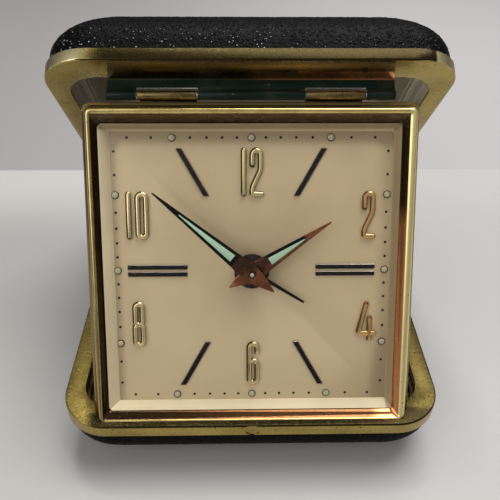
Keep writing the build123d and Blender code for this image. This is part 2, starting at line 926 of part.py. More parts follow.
def digit_eight(x, y):
    ring_height = (numeral_height + stroke) / 2
    shift = (ring_height - stroke) / 2
    with BuildSketch() as made:
        add(ring_digit(x, y + shift, digit_width - eight_waist, ring_height))
        add(ring_digit(x, y - shift, digit_width, ring_height))
    return made.sketch


def digit_four(x, y):
    half = four_height / 2
    bar = y - four_bar_share * four_height
    with BuildSketch() as made:
        add(bent_stroke((x + four_top_lean, y + half), (x - four_width / 3, bar)))
        add(bent_stroke((x - four_width / 2, bar), (x + four_width / 2, bar)))
        add(bent_stroke((x + four_stem, y + four_stem_top), (x + four_stem, y - half)))
    return made.sketch


def raised_marks(*outlines):
    with BuildPart() as made:
        for outline in outlines:
            with BuildSketch(Plane.XY.offset(seat_gap)):
                add(outline)
        extrude(amount=mark_thickness)
    return made.part


with BuildPart() as dial_numerals:
    twelve = (digit_one(twelve_one_x, twelve_y), digit_two(twelve_two_x, twelve_y))
    ten = (digit_one(ten_one_x, upper_row_y), ring_digit(ten_zero_x, upper_row_y, digit_width, numeral_height))
    others = (digit_two(two_x, upper_row_y), digit_eight(eight_x, lower_row_y),
              digit_four(four_x, four_y), digit_six(six_x, six_y))
    add(placed(dial_frame, raised_marks(*twelve, *ten, *others)))
dial_numerals.part.label = "dial_numerals"
export_step(dial_numerals.part, "parts/dial_numerals.step")


def slanted_baton(side, upper):
    top_y = baton_top_y if upper > 0 else -baton_foot_y
    foot_y = baton_foot_y if upper > 0 else -baton_top_y
    top_x = baton_top_x if upper > 0 else baton_foot_x
    foot_x = baton_foot_x if upper > 0 else baton_top_x
    half = baton_width / 2
    with BuildSketch() as made:
        with BuildLine():
            Polyline((side * top_x - half, top_y), (side * top_x + half, top_y),
                     (side * foot_x + half, foot_y), (side * foot_x - half, foot_y), close=True)
        make_face()
    return made.sketch


def double_bar(side):
    with BuildSketch() as made:
        with Locations((side * (bar_inner + bar_outer) / 2, bar_offset),
                       (side * (bar_inner + bar_outer) / 2, -bar_offset)):
            Rectangle(bar_outer - bar_inner, bar_height)
    return made.sketch


with BuildPart() as dial_batons:
    batons = [slanted_baton(side, upper) for side in (-1, 1) for upper in (-1, 1)]
    bars = [double_bar(side) for side in (-1, 1)]
    add(placed(dial_frame, raised_marks(*batons, *bars)))
dial_batons.part.label = "dial_batons"
export_step(dial_batons.part, "parts/dial_batons.step")


def track_point(minute):
    turn = radians(6 * minute)
    reach = track_half_width / max(abs(sin(turn)), abs(cos(turn)))
    return (reach * sin(turn), reach * cos(turn) * track_height_share)


with BuildPart() as dial_studs:
    for hour in range(12):
        stud_x, stud_y = track_point(5 * hour)
        add(placed(dial_frame, rod(stud_radius, seat_gap, stud_height, stud_x, stud_y)))
dial_studs.part.label = "dial_studs"
export_step(dial_studs.part, "parts/dial_studs.step")


# hands, drawn pointing at twelve and then turned
def turned(angle):
    return Location((0, 0, 0), (0, 0, -angle))


def pointed_hand(level, length, widest_place, tail, bore):
    with BuildPart() as made:
        with BuildSketch(Plane.XY.offset(level)):
            right = [(hand_tip_half, length), (hand_half_width, widest_place), (hub_half_width, hub_front),
                     (hub_half_width, 0), (tail_half_width, -tail_bend), (hand_tip_half, -tail)]
            left = [(-x, y) for x, y in reversed(right)]
            with BuildLine():
                Polyline(*right, *left, close=True)
            make_face()
            Circle(bore, mode=Mode.SUBTRACT)
        extrude(amount=hand_sheet)
    return made.part


def lume_strip(level, length, widest_place, lume_end, grow, height):
    start = widest_place + lume_gap
    slope = (hand_half_width - hand_tip_half) / (length - widest_place)
    start_half = hand_half_width - lume_border - slope * lume_gap
    with BuildPart() as made:
        with BuildSketch(Plane.XY.offset(level)):
            with BuildLine():
                Polyline((start_half + grow, start - grow), (lume_tip_half + grow, lume_end + grow),
                         (-lume_tip_half - grow, lume_end + grow), (-start_half - grow, start - grow),
                         close=True)
            make_face()
        extrude(amount=height)
    return made.part


minute_bore = cannon_outer + seat_gap / 2
hour_bore = hour_tube_outer + seat_gap / 2
alarm_bore = alarm_tube_outer + seat_gap / 2
lume_lift = hand_sheet / 2

with BuildPart() as minute_hand:
    add(placed(dial_frame, turned(minute_hand_turn) * pointed_hand(
        minute_hand_level, minute_hand_length, minute_widest_place, minute_hand_tail, minute_bore)))
    add(placed(dial_frame, turned(minute_hand_turn) * lume_strip(
        minute_hand_level + lume_lift, minute_hand_length, minute_widest_place, minute_lume_end,
        seat_gap, hand_sheet)), mode=Mode.SUBTRACT)
minute_hand.part.label = "minute_hand"
export_step(minute_hand.part, "parts/minute_hand.step")

with BuildPart() as minute_hand_lume:
    add(placed(dial_frame, turned(minute_hand_turn) * lume_strip(
        minute_hand_level + lume_lift + seat_gap, minute_hand_length, minute_widest_place,
        minute_lume_end, 0, lume_sheet)))
minute_hand_lume.part.label = "minute_hand_lume"
export_step(minute_hand_lume.part, "parts/minute_hand_lume.step")

with BuildPart() as hour_hand:
    add(placed(dial_frame, turned(hour_hand_turn) * pointed_hand(
        hour_hand_level, hour_hand_length, hour_widest_place, hour_hand_tail, hour_bore)))
    add(placed(dial_frame, turned(hour_hand_turn) * lume_strip(
        hour_hand_level + lume_lift, hour_hand_length, hour_widest_place, hour_lume_end,
        seat_gap, hand_sheet)), mode=Mode.SUBTRACT)
hour_hand.part.label = "hour_hand"
export_step(hour_hand.part, "parts/hour_hand.step")

with BuildPart() as hour_hand_lume:
    add(placed(dial_frame, turned(hour_hand_turn) * lume_strip(
        hour_hand_level + lume_lift + seat_gap, hour_hand_length, hour_widest_place,
        hour_lume_end, 0, lume_sheet)))
hour_hand_lume.part.label = "hour_hand_lume"
export_step(hour_hand_lume.part, "parts/hour_hand_lume.step")

def alarm_hand_form():
    with BuildPart() as made:
        with BuildSketch(Plane.XY.offset(alarm_hand_level)):
            Circle(alarm_hub_radius)
            with BuildLine():
                Polyline((alarm_hand_width / 2, 0), (alarm_tip_width / 2, alarm_hand_length),
                         (-alarm_tip_width / 2, alarm_hand_length), (-alarm_hand_width / 2, 0), close=True)
            make_face()
        extrude(amount=hand_sheet)
        add(rod(alarm_ring_radius, alarm_hand_level, alarm_hand_level + alarm_ring_height))
        add(rod(alarm_bore, alarm_hand_level, alarm_hand_level + alarm_ring_height), mode=Mode.SUBTRACT)
    return made.part


with BuildPart() as alarm_hand:
    add(placed(dial_frame, turned(alarm_hand_turn) * alarm_hand_form()))
alarm_hand.part.label = "alarm_hand"
export_step(alarm_hand.part, "parts/alarm_hand.step")

# centre stack: arbor, cannon pinion, hour wheel and alarm wheel, one inside the other
def polar(distance, direction, x=0, y=0):
    turn = radians(direction)
    return (x + distance * cos(turn), y + distance * sin(turn))


def toothed(teeth, module, bottom, top, x=0, y=0, turn=0, bore=0):
    # straight-sided teeth with a generous backlash
    pitch = module * teeth / 2
    tip = pitch + tooth_rise_share * module
    root = pitch - tooth_fall_share * module
    step = 360 / teeth
    shape = ((root, -tooth_root_share), (tip, -tooth_tip_share), (tip, tooth_tip_share),
             (root, tooth_root_share))
    points = [polar(reach, turn + step * (index + share), x, y) for index in range(teeth)
              for reach, share in shape]
    with BuildPart() as made:
        with BuildSketch(Plane.XY.offset(bottom)):
            with BuildLine():
                Polyline(*points, close=True)
            make_face()
            if bore > 0:
                with Locations((x, y)):
                    Circle(bore, mode=Mode.SUBTRACT)
        extrude(amount=top - bottom)
    return made.part


plate_back = front_plate_top + plate_sheet
back_plate_front = plate_back + train_space
back_plate_back = back_plate_front + plate_sheet
cover_back = cover_front + cover_sheet
arbor_bore = arbor_radius + fit_gap
centre_bore = centre_arbor_radius + fit_gap
knob_front = cover_back + key_gap
minute_wheel_distance = motion_module * (cannon_teeth + minute_wheel_teeth) / 2
minute_wheel_x, minute_wheel_y = polar(minute_wheel_distance, minute_wheel_direction)
alarm_distance = alarm_module * (alarm_pinion_teeth + alarm_wheel_teeth) / 2
alarm_x, alarm_y = polar(alarm_distance, alarm_arbor_direction)
barrel_distance = train_module * (barrel_teeth + centre_pinion_teeth) / 2
barrel_x, barrel_y = polar(barrel_distance, barrel_direction)
third_x, third_y = polar(train_module * (centre_wheel_teeth + third_pinion_teeth) / 2, third_direction)
fourth_x, fourth_y = polar(fine_module * (third_wheel_teeth + fourth_pinion_teeth) / 2,
                           fourth_direction, third_x, third_y)
escape_x, escape_y = polar(fine_module * (fourth_wheel_teeth + escape_pinion_teeth) / 2,
                           escape_direction, fourth_x, fourth_y)
alarm_escape_x, alarm_escape_y = polar(train_module * (barrel_teeth + escape_pinion_teeth) / 2,
                                       alarm_escape_direction, alarm_barrel_x, alarm_barrel_y)

with BuildPart() as centre_arbor:
    add(placed(dial_frame, rod(centre_arbor_radius, -knob_front - knob_height / 2, centre_arbor_front)))
centre_arbor.part.label = "centre_arbor"
export_step(centre_arbor.part, "parts/centre_arbor.step")

with BuildPart() as cannon_pinion:
    cannon_bottom = -(minute_wheel_top + wheel_sheet)
    add(placed(dial_frame, tube(cannon_outer, centre_bore, cannon_bottom, cannon_top)))
    add(placed(dial_frame, toothed(cannon_teeth, motion_module, cannon_bottom, -minute_wheel_top,
                                   bore=centre_bore)))
cannon_pinion.part.label = "cannon_pinion"
export_step(cannon_pinion.part, "parts/cannon_pinion.step")

with BuildPart() as minute_wheel:
    mesh_turn = minute_wheel_direction + 180 + 180 / minute_wheel_teeth
    add(placed(dial_frame, toothed(minute_wheel_teeth, motion_module, cannon_bottom, -minute_wheel_top,
                                   minute_wheel_x, minute_wheel_y, mesh_turn, arbor_bore)))
    add(placed(dial_frame, toothed(minute_pinion_teeth, hour_module, -minute_wheel_top, -motion_pinion_top,
                                   minute_wheel_x, minute_wheel_y, minute_wheel_direction + 180,
                                   arbor_bore)))
minute_wheel.part.label = "minute_wheel"
export_step(minute_wheel.part, "parts/minute_wheel.step")

with BuildPart() as hour_wheel:
    hour_bottom = -(hour_wheel_top + wheel_sheet)
    hour_inner = cannon_outer + slide_gap
    mesh_turn = minute_wheel_direction + 180 / hour_wheel_teeth
    add(placed(dial_frame, tube(hour_tube_outer, hour_inner, hour_bottom, hour_tube_top)))
    add(placed(dial_frame, toothed(hour_wheel_teeth, hour_module, hour_bottom, -hour_wheel_top,
                                   turn=mesh_turn, bore=hour_inner)))
hour_wheel.part.label = "hour_wheel"
export_step(hour_wheel.part, "parts/hour_wheel.step")

with BuildPart() as alarm_wheel:
    alarm_bottom = -(alarm_wheel_top + wheel_sheet)
    alarm_inner = hour_tube_outer + slide_gap
    mesh_turn = alarm_arbor_direction + 180 / alarm_wheel_teeth
    add(placed(dial_frame, tube(alarm_tube_outer, alarm_inner, alarm_bottom, alarm_tube_top)))
    add(placed(dial_frame, toothed(alarm_wheel_teeth, alarm_module, alarm_bottom, -alarm_wheel_top,
                                   turn=mesh_turn, bore=alarm_inner)))
alarm_wheel.part.label = "alarm_wheel"
export_step(alarm_wheel.part, "parts/alarm_wheel.step")

with BuildPart() as alarm_set_arbor:
    add(placed(dial_frame, rod(arbor_radius, -knob_front - knob_height / 2, -alarm_wheel_top,
                               alarm_x, alarm_y)))
    add(placed(dial_frame, toothed(alarm_pinion_teeth, alarm_module, alarm_bottom, -alarm_wheel_top,
                                   alarm_x, alarm_y, alarm_arbor_direction + 180)))
alarm_set_arbor.part.label = "alarm_set_arbor"
export_step(alarm_set_arbor.part, "parts/alarm_set_arbor.step")


# movement plates, pillars and screws
def arbor_holes(bottom, top, places):
    with BuildPart() as made:
        for x, y, radius in places:
            add(rod(radius, bottom, top, x, y))
    return made.part


train_places = [(barrel_x, barrel_y, arbor_bore), (alarm_barrel_x, alarm_barrel_y, arbor_bore),
                (third_x, third_y, arbor_bore), (fourth_x, fourth_y, arbor_bore),
                (escape_x, escape_y, arbor_bore), (pallet_x, pallet_y, arbor_bore),
                (balance_x, balance_y, arbor_bore), (alarm_escape_x, alarm_escape_y, arbor_bore),
                (hammer_x, hammer_y, arbor_bore)]
through_places = [(0, 0, centre_bore), (alarm_x, alarm_y, arbor_bore)]
pillar_places = [(side * pillar_x, end * pillar_y) for side in (-1, 1) for end in (-1, 1)]
screw_places = [(x, y, arbor_bore) for x, y in pillar_places]
cover_screw_places = [(side * cover_screw_x, end * cover_screw_y) for side in (-1, 1) for end in (-1, 1)]
cover_screw_holes = [(x, y, arbor_bore) for x, y in cover_screw_places]

with BuildPart() as front_plate:
    add(placed(dial_frame, block(plate_width, plate_height, plate_corner, -plate_back, -front_plate_top)))
    add(placed(dial_frame, arbor_holes(-plate_back, -front_plate_top,
                                       train_places + through_places + screw_places)), mode=Mode.SUBTRACT)
    add(placed(dial_frame, rod(arbor_radius, -plate_back, -motion_pinion_top, minute_wheel_x, minute_wheel_y)))
front_plate.part.label = "front_plate"
export_step(front_plate.part, "parts/front_plate.step")

with BuildPart() as back_plate:
    add(placed(dial_frame, block(plate_width, plate_height, plate_corner,
                                 -back_plate_back, -back_plate_front)))
    add(placed(dial_frame, arbor_holes(-back_plate_back, -back_plate_front, train_places + through_places
                                       + screw_places + cover_screw_holes)), mode=Mode.SUBTRACT)
back_plate.part.label = "back_plate"
export_step(back_plate.part, "parts/back_plate.step")

with BuildPart() as plate_pillars:
    for x, y in pillar_places:
        add(placed(dial_frame, tube(pillar_radius, arbor_bore, seat_gap - back_plate_front,
                                    -plate_back - seat_gap, x, y)))
plate_pillars.part.label = "plate_pillars"
export_step(plate_pillars.part, "parts/plate_pillars.step")


def screws(head_bottom, head_top, shank_end, places):
    # shank_end lies above the head for screws driven from behind
    slot = head_bottom + screw_slot_depth
    with BuildPart() as made:
        for x, y in places:
            add(rod(screw_head_radius, head_bottom, head_top, x, y))
            add(rod(arbor_radius, head_top, shank_end, x, y))
            with BuildSketch(Plane.XY.offset(head_bottom)):
                with Locations((x, y)):
                    Rectangle(2 * screw_head_radius, screw_slot_width)
            extrude(amount=slot - head_bottom, mode=Mode.SUBTRACT)
    return made.part


with BuildPart() as plate_screws:
    head_top = -back_plate_back - seat_gap
    add(placed(dial_frame, screws(head_top - screw_head_height, head_top, -front_plate_top, pillar_places)))
plate_screws.part.label = "plate_screws"
export_step(plate_screws.part, "parts/plate_screws.step")


# going train, each wheel one piece with its arbor and pinion
def arbor(x, y, radius=arbor_radius):
    return rod(radius, -back_plate_back, -front_plate_top, x, y)


def level(depth):
    return -plate_back - depth


def spring_barrel(x, y, turn):
    with BuildPart() as made:
        add(tube(train_module * (barrel_teeth - 3) / 2, arbor_bore, level(barrel_level + barrel_height),
                 level(barrel_level + barrel_flange), x, y))
        add(toothed(barrel_teeth, train_module, level(barrel_level + barrel_flange), level(barrel_level),
                    x, y, turn, arbor_bore))
        add(tube(train_module * (barrel_teeth - 3) / 2 - barrel_flange, arbor_bore,
                 level(barrel_level + barrel_height - barrel_flange),
                 level(barrel_level + barrel_flange), x, y), mode=Mode.SUBTRACT)
    return made.part


def mainspring(x, y):
    inner = 2 * arbor_radius + fit_gap
    outer = train_module * (barrel_teeth - 3) / 2 - barrel_flange - slide_gap
    bottom = level(barrel_level + barrel_height - barrel_flange) + slide_gap
    top = level(barrel_level + barrel_flange) - slide_gap
    return spiral_strip(x, y, inner, outer, mainspring_turns, mainspring_thickness, bottom, top)


def spiral_strip(x, y, inner, outer, turns, thickness, bottom, top):
    steps = spiral_steps * turns
    reach = [inner + thickness / 2 + (outer - inner - thickness) * step / steps for step in range(steps + 1)]
    outside = [polar(reach[step] + thickness / 2, 360 * step / spiral_steps, x, y)
               for step in range(steps + 1)]
    inside = [polar(reach[step] - thickness / 2, 360 * step / spiral_steps, x, y)
              for step in range(steps, -1, -1)]
    with BuildPart() as made:
        with BuildSketch(Plane.XY.offset(bottom)):
            with BuildLine():
                Polyline(*outside, *inside, close=True)
            make_face()
        extrude(amount=top - bottom)
    return made.part


with BuildPart() as going_barrel:
    add(placed(dial_frame, spring_barrel(barrel_x, barrel_y, barrel_direction + 180)))
going_barrel.part.label = "going_barrel"
export_step(going_barrel.part, "parts/going_barrel.step")

with BuildPart() as alarm_barrel:
    add(placed(dial_frame, spring_barrel(alarm_barrel_x, alarm_barrel_y, alarm_escape_direction)))
alarm_barrel.part.label = "alarm_barrel"
export_step(alarm_barrel.part, "parts/alarm_barrel.step")

with BuildPart() as going_mainspring:
    add(placed(dial_frame, mainspring(barrel_x, barrel_y)))
going_mainspring.part.label = "going_mainspring"
export_step(going_mainspring.part, "parts/going_mainspring.step")

with BuildPart() as alarm_mainspring:
    add(placed(dial_frame, mainspring(alarm_barrel_x, alarm_barrel_y)))
alarm_mainspring.part.label = "alarm_mainspring"
export_step(alarm_mainspring.part, "parts/alarm_mainspring.step")

with BuildPart() as centre_wheel:
    pinion_bottom = level(centre_pinion_level + centre_pinion_height)
    mesh_turn = third_direction + 180 / centre_wheel_teeth
    add(placed(dial_frame, toothed(centre_wheel_teeth, train_module,
                                   level(centre_wheel_level + wheel_sheet), level(centre_wheel_level),
                                   turn=mesh_turn, bore=centre_bore)))
    add(placed(dial_frame, toothed(centre_pinion_teeth, train_module, pinion_bottom,
                                   level(centre_wheel_level + wheel_sheet),
                                   turn=barrel_direction + 180 / centre_pinion_teeth, bore=centre_bore)))
centre_wheel.part.label = "centre_wheel"
export_step(centre_wheel.part, "parts/centre_wheel.step")

with BuildPart() as third_wheel:
    add(placed(dial_frame, arbor(third_x, third_y)))
    add(placed(dial_frame, toothed(third_pinion_teeth, train_module,
                                   level(third_pinion_level + pinion_height), level(third_pinion_level),
                                   third_x, third_y, third_direction + 180)))
    add(placed(dial_frame, toothed(third_wheel_teeth, fine_module,
                                   level(third_wheel_level + wheel_sheet), level(third_wheel_level),
                                   third_x, third_y, fourth_direction + 180 / third_wheel_teeth)))
third_wheel.part.label = "third_wheel"
export_step(third_wheel.part, "parts/third_wheel.step")

with BuildPart() as fourth_wheel:
    add(placed(dial_frame, arbor(fourth_x, fourth_y)))
    add(placed(dial_frame, toothed(fourth_pinion_teeth, fine_module,
                                   level(fourth_pinion_level + pinion_height), level(fourth_pinion_level),
                                   fourth_x, fourth_y, fourth_direction + 180)))
    add(placed(dial_frame, toothed(fourth_wheel_teeth, fine_module,
                                   level(fourth_wheel_level + wheel_sheet), level(fourth_wheel_level),
                                   fourth_x, fourth_y, escape_direction + 180 / fourth_wheel_teeth)))
fourth_wheel.part.label = "fourth_wheel"
export_step(fourth_wheel.part, "parts/fourth_wheel.step")


def ratchet_teeth(x, y, teeth, radius, bottom, top):
    # raked teeth of an escape wheel
    step = 360 / teeth
    points = []
    for index in range(teeth):
        points.append(polar(radius, step * index, x, y))
        points.append(polar(radius * ratchet_root_share, step * (index + ratchet_lean_share), x, y))
        points.append(polar(radius * ratchet_root_share, step * (index + 1 - ratchet_lean_share / 3), x, y))
    with BuildPart() as made:
        with BuildSketch(Plane.XY.offset(bottom)):
            with BuildLine():
                Polyline(*points, close=True)
            make_face()
        extrude(amount=top - bottom)
    return made.part


with BuildPart() as escape_wheel:
    add(placed(dial_frame, arbor(escape_x, escape_y)))
    add(placed(dial_frame, toothed(escape_pinion_teeth, fine_module,
                                   level(escape_pinion_level + pinion_height), level(escape_pinion_level),
                                   escape_x, escape_y, escape_direction + 180)))
    add(placed(dial_frame, ratchet_teeth(escape_x, escape_y, escape_wheel_teeth, escape_radius,
                                         level(escape_wheel_level + wheel_sheet),
                                         level(escape_wheel_level))))
escape_wheel.part.label = "escape_wheel"
export_step(escape_wheel.part, "parts/escape_wheel.step")

with BuildPart() as alarm_escape_wheel:
    add(placed(dial_frame, arbor(alarm_escape_x, alarm_escape_y)))
    add(placed(dial_frame, toothed(escape_pinion_teeth, train_module,
                                   level(escape_pinion_level + pinion_height), level(escape_pinion_level),
                                   alarm_escape_x, alarm_escape_y,
                                   alarm_escape_direction + 180 + 180 / escape_pinion_teeth)))
    add(placed(dial_frame, ratchet_teeth(alarm_escape_x, alarm_escape_y, alarm_escape_teeth,
                                         alarm_escape_radius, level(alarm_escape_level + wheel_sheet),
                                         level(alarm_escape_level))))
alarm_escape_wheel.part.label = "alarm_escape_wheel"
export_step(alarm_escape_wheel.part, "parts/alarm_escape_wheel.step")


# levers: each is a flat arm drawn from its arbor, turned to its working direction
def aim(x, y, to_x, to_y):
    return degrees(atan2(to_y - y, to_x - x))


def anchor_form(x, y, wheel_x, wheel_y, wheel_radius, tail_length, sheet, depth):
    gap_to_wheel = hypot(wheel_x - x, wheel_y - y) - wheel_radius - pallet_clearance
    with BuildPart() as made:
        add(arbor(0, 0))
        with BuildSketch(Plane.XY.offset(level(depth + sheet))):
            Circle(2 * arbor_radius)
            with BuildLine():
                Polyline((0, lever_width / 2), (gap_to_wheel, pallet_spread), (gap_to_wheel, -pallet_spread),
                         (0, -lever_width / 2), close=True)
            make_face()
            with Locations((-tail_length / 2, 0)):
                Rectangle(tail_length, lever_width)
        extrude(amount=sheet)
    return Location((x, y, 0), (0, 0, aim(x, y, wheel_x, wheel_y))) * made.part


with BuildPart() as pallet_lever:
    pallet_tail = hypot(balance_x - pallet_x, balance_y - pallet_y) - 2 * arbor_radius - 2 * pallet_clearance
    add(placed(dial_frame, anchor_form(pallet_x, pallet_y, escape_x, escape_y, escape_radius,
                                       pallet_tail, wheel_sheet, pallet_level)))
pallet_lever.part.label = "pallet_lever"
export_step(pallet_lever.part, "parts/pallet_lever.step")

with BuildPart() as alarm_hammer:
    add(placed(dial_frame, anchor_form(hammer_x, hammer_y, alarm_escape_x, alarm_escape_y,
                                       alarm_escape_radius, hammer_reach, hammer_sheet, hammer_level)))
    head_x, head_y = polar(hammer_reach, 180 + aim(hammer_x, hammer_y, alarm_escape_x, alarm_escape_y),
                           hammer_x, hammer_y)
    add(placed(dial_frame, rod(hammer_head_radius, level(hammer_level + hammer_head_height),
                               level(hammer_level), head_x, head_y)))
alarm_hammer.part.label = "alarm_hammer"
export_step(alarm_hammer.part, "parts/alarm_hammer.step")

with BuildPart() as balance_wheel:
    bottom = level(balance_level + balance_sheet)
    add(placed(dial_frame, arbor(balance_x, balance_y)))
    add(placed(dial_frame, tube(balance_radius, balance_radius - balance_rim, bottom,
                                level(balance_level), balance_x, balance_y)))
    with BuildSketch(dial_frame.offset(bottom)):
        with Locations((balance_x, balance_y)):
            Rectangle(2 * balance_radius - balance_rim, balance_rim)
            Circle(2 * arbor_radius)
    extrude(amount=balance_sheet)
balance_wheel.part.label = "balance_wheel"
export_step(balance_wheel.part, "parts/balance_wheel.step")

with BuildPart() as hairspring:
    spring_outer = hairspring_inner + hairspring_turns * hairspring_pitch
    add(placed(dial_frame, spiral_strip(balance_x, balance_y, hairspring_inner, spring_outer,
                                        hairspring_turns, hairspring_thickness,
                                        level(hairspring_level + hairspring_height),
                                        level(hairspring_level))))
    add(placed(dial_frame, tube(hairspring_inner + hairspring_thickness / 2, arbor_bore - fit_gap / 2,
                                level(hairspring_level + hairspring_height), level(hairspring_level),
                                balance_x, balance_y)))
hairspring.part.label = "hairspring"
export_step(hairspring.part, "parts/hairspring.step")

# rate lever between the back plate and the cover, its pin reaching out through a curved slot
lever_top = -back_plate_back - slide_gap
slot_direction = -90

with BuildPart() as regulator_lever:
    with BuildSketch(dial_frame.offset(lever_top - regulator_sheet)):
        with Locations((balance_x, balance_y)):
            Circle(regulator_hub_radius)
        with Locations((balance_x, balance_y - regulator_arm / 2)):
            Rectangle(regulator_width, regulator_arm)
        with Locations((balance_x, balance_y - regulator_arm)):
            Circle(regulator_width / 2)
        with Locations((balance_x, balance_y)):
            Circle(arbor_bore, mode=Mode.SUBTRACT)
    extrude(amount=regulator_sheet)
    add(placed(dial_frame, rod(regulator_pin_radius, -cover_back - regulator_pin_proud, lever_top - regulator_sheet / 2,
                               balance_x, balance_y - regulator_arm)))
regulator_lever.part.label = "regulator_lever"
export_step(regulator_lever.part, "parts/regulator_lever.step")


def regulator_slot():
    half = regulator_pin_radius + slide_gap
    turns = [slot_direction + regulator_swing * share for share in (-1, -0.5, 0, 0.5, 1)]
    outside = [polar(regulator_arm + half, turn, balance_x, balance_y) for turn in turns]
    inside = [polar(regulator_arm - half, turn, balance_x, balance_y) for turn in reversed(turns)]
    with BuildPart() as made:
        with BuildSketch(Plane.XY.offset(-cover_back)):
            with BuildLine():
                Polyline(*outside, *inside, close=True)
            make_face()
            for turn in (turns[0], turns[-1]):
                with Locations(polar(regulator_arm, turn, balance_x, balance_y)):
                    Circle(half)
        extrude(amount=cover_sheet)
    return made.part


# rear cover with its openings

def cover_form():
    lip_width = body_width - 2 * body_sheet - 2 * slide_gap
    lip_height = body_height - 2 * body_sheet - 2 * slide_gap
    with BuildPart() as made:
        add(block(body_width, body_height, body_corner, -cover_back, -cover_front))
        add(block(lip_width, lip_height, body_corner - body_sheet, -cover_front, cover_lip - cover_front))
        add(block(lip_width - 2 * body_sheet, lip_height - 2 * body_sheet, body_corner - 2 * body_sheet,
                  -cover_front, cover_lip - cover_front), mode=Mode.SUBTRACT)
        add(arbor_holes(-cover_back, -cover_front, through_places + [
            (barrel_x, barrel_y, winding_radius + fit_gap),
            (alarm_barrel_x, alarm_barrel_y, winding_radius + fit_gap),
            (button_x, button_y, button_stem_radius + slide_gap)]), mode=Mode.SUBTRACT)
        add(regulator_slot(), mode=Mode.SUBTRACT)
        for x, y in cover_screw_places:
            add(rod(screw_head_radius, -cover_front, -back_plate_back - seat_gap, x, y))
            add(rod(arbor_bore, -cover_back, -back_plate_back - seat_gap, x, y), mode=Mode.SUBTRACT)
    return made.part


with BuildPart() as rear_cover:
    add(placed(dial_frame, cover_form()))
rear_cover.part.label = "rear_cover"
export_step(rear_cover.part, "parts/rear_cover.step")

with BuildPart() as cover_screws:
    head_top = -cover_back - seat_gap
    add(placed(dial_frame, screws(head_top - screw_head_height, head_top, -back_plate_front,
                                  cover_screw_places)))
cover_screws.part.label = "cover_screws"
export_step(cover_screws.part, "parts/cover_screws.step")


# winding keys: arbor, round boss and flat wing
def winding_key(x, y, turn):
    boss_back = -knob_front - key_hub_height
    with BuildPart() as made:
        add(rod(key_hub_radius, boss_back, -knob_front, x, y))
        with BuildSketch(Plane.XY.offset(boss_back - key_thickness)):
            with Locations(Location((x, y, 0), (0, 0, turn))):
                RectangleRounded(key_wing_width, key_wing_height, key_wing_height * key_round_share)
        extrude(amount=key_thickness)
        add(rod(winding_radius, -knob_front, -back_plate_back - slide_gap, x, y))
        add(rod(arbor_radius, -back_plate_back - slide_gap, -front_plate_top, x, y))
    return made.part


with BuildPart() as time_key:
    add(placed(dial_frame, winding_key(barrel_x, barrel_y, time_key_turn)))
time_key.part.label = "time_key"
export_step(time_key.part, "parts/time_key.step")

with BuildPart() as alarm_key:
    add(placed(dial_frame, winding_key(alarm_barrel_x, alarm_barrel_y, alarm_key_turn)))
alarm_key.part.label = "alarm_key"
export_step(alarm_key.part, "parts/alarm_key.step")


def grooved_knob(x, y, radius, bore):
    with BuildPart() as made:
        with BuildSketch(Plane.XY.offset(-knob_front - knob_height)):
            with Locations((x, y)):
                Circle(radius)
                with PolarLocations(radius, knob_grooves):
                    Circle(knob_groove_radius, mode=Mode.SUBTRACT)
        extrude(amount=knob_height)
        add(rod(bore, -knob_front - knob_height / 2, -knob_front, x, y), mode=Mode.SUBTRACT)
    return made.part


with BuildPart() as time_knob:
    add(placed(dial_frame, grooved_knob(0, 0, knob_radius, centre_arbor_radius + seat_gap / 2)))
time_knob.part.label = "time_knob"
export_step(time_knob.part, "parts/time_knob.step")

with BuildPart() as alarm_knob:
    add(placed(dial_frame, grooved_knob(alarm_x, alarm_y, alarm_knob_radius, arbor_radius + seat_gap / 2)))
alarm_knob.part.label = "alarm_knob"
export_step(alarm_knob.part, "parts/alarm_knob.step")

with BuildPart() as alarm_stop_button:
    button_front = -cover_back - button_travel - key_gap
    add(placed(dial_frame, rod(button_radius, button_front - button_height, button_front,
                               button_x, button_y)))
    add(placed(dial_frame, rod(button_stem_radius, button_front, -cover_front + button_stem_reach,
                               button_x, button_y)))
alarm_stop_button.part.label = "alarm_stop_button"
export_step(alarm_stop_button.part, "parts/alarm_stop_button.step")

whole = [name for name in sorted(os.listdir("parts"))]
print(len(whole), "files")
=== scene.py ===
import bpy, bmesh, json
from math import sin, cos, hypot, radians, pi
from mathutils import Matrix, Vector, noise


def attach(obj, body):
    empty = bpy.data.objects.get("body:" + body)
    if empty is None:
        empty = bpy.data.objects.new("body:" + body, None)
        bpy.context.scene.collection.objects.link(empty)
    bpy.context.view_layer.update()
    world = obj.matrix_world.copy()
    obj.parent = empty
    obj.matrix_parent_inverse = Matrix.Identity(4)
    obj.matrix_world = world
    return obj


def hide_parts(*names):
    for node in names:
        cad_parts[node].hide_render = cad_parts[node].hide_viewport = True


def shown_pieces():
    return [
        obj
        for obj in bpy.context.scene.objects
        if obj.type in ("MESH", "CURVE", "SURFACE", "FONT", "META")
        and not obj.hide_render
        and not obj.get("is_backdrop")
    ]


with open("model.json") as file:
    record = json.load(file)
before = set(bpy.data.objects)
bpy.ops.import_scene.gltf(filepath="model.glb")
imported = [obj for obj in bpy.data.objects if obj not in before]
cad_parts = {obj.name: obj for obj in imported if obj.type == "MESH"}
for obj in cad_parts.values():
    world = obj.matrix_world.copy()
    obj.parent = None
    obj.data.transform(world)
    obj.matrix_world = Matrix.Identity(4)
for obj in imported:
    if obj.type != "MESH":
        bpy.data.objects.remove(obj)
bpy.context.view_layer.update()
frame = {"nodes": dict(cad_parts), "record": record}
scene = bpy.context.scene
record = frame["record"]
mm = 0.001

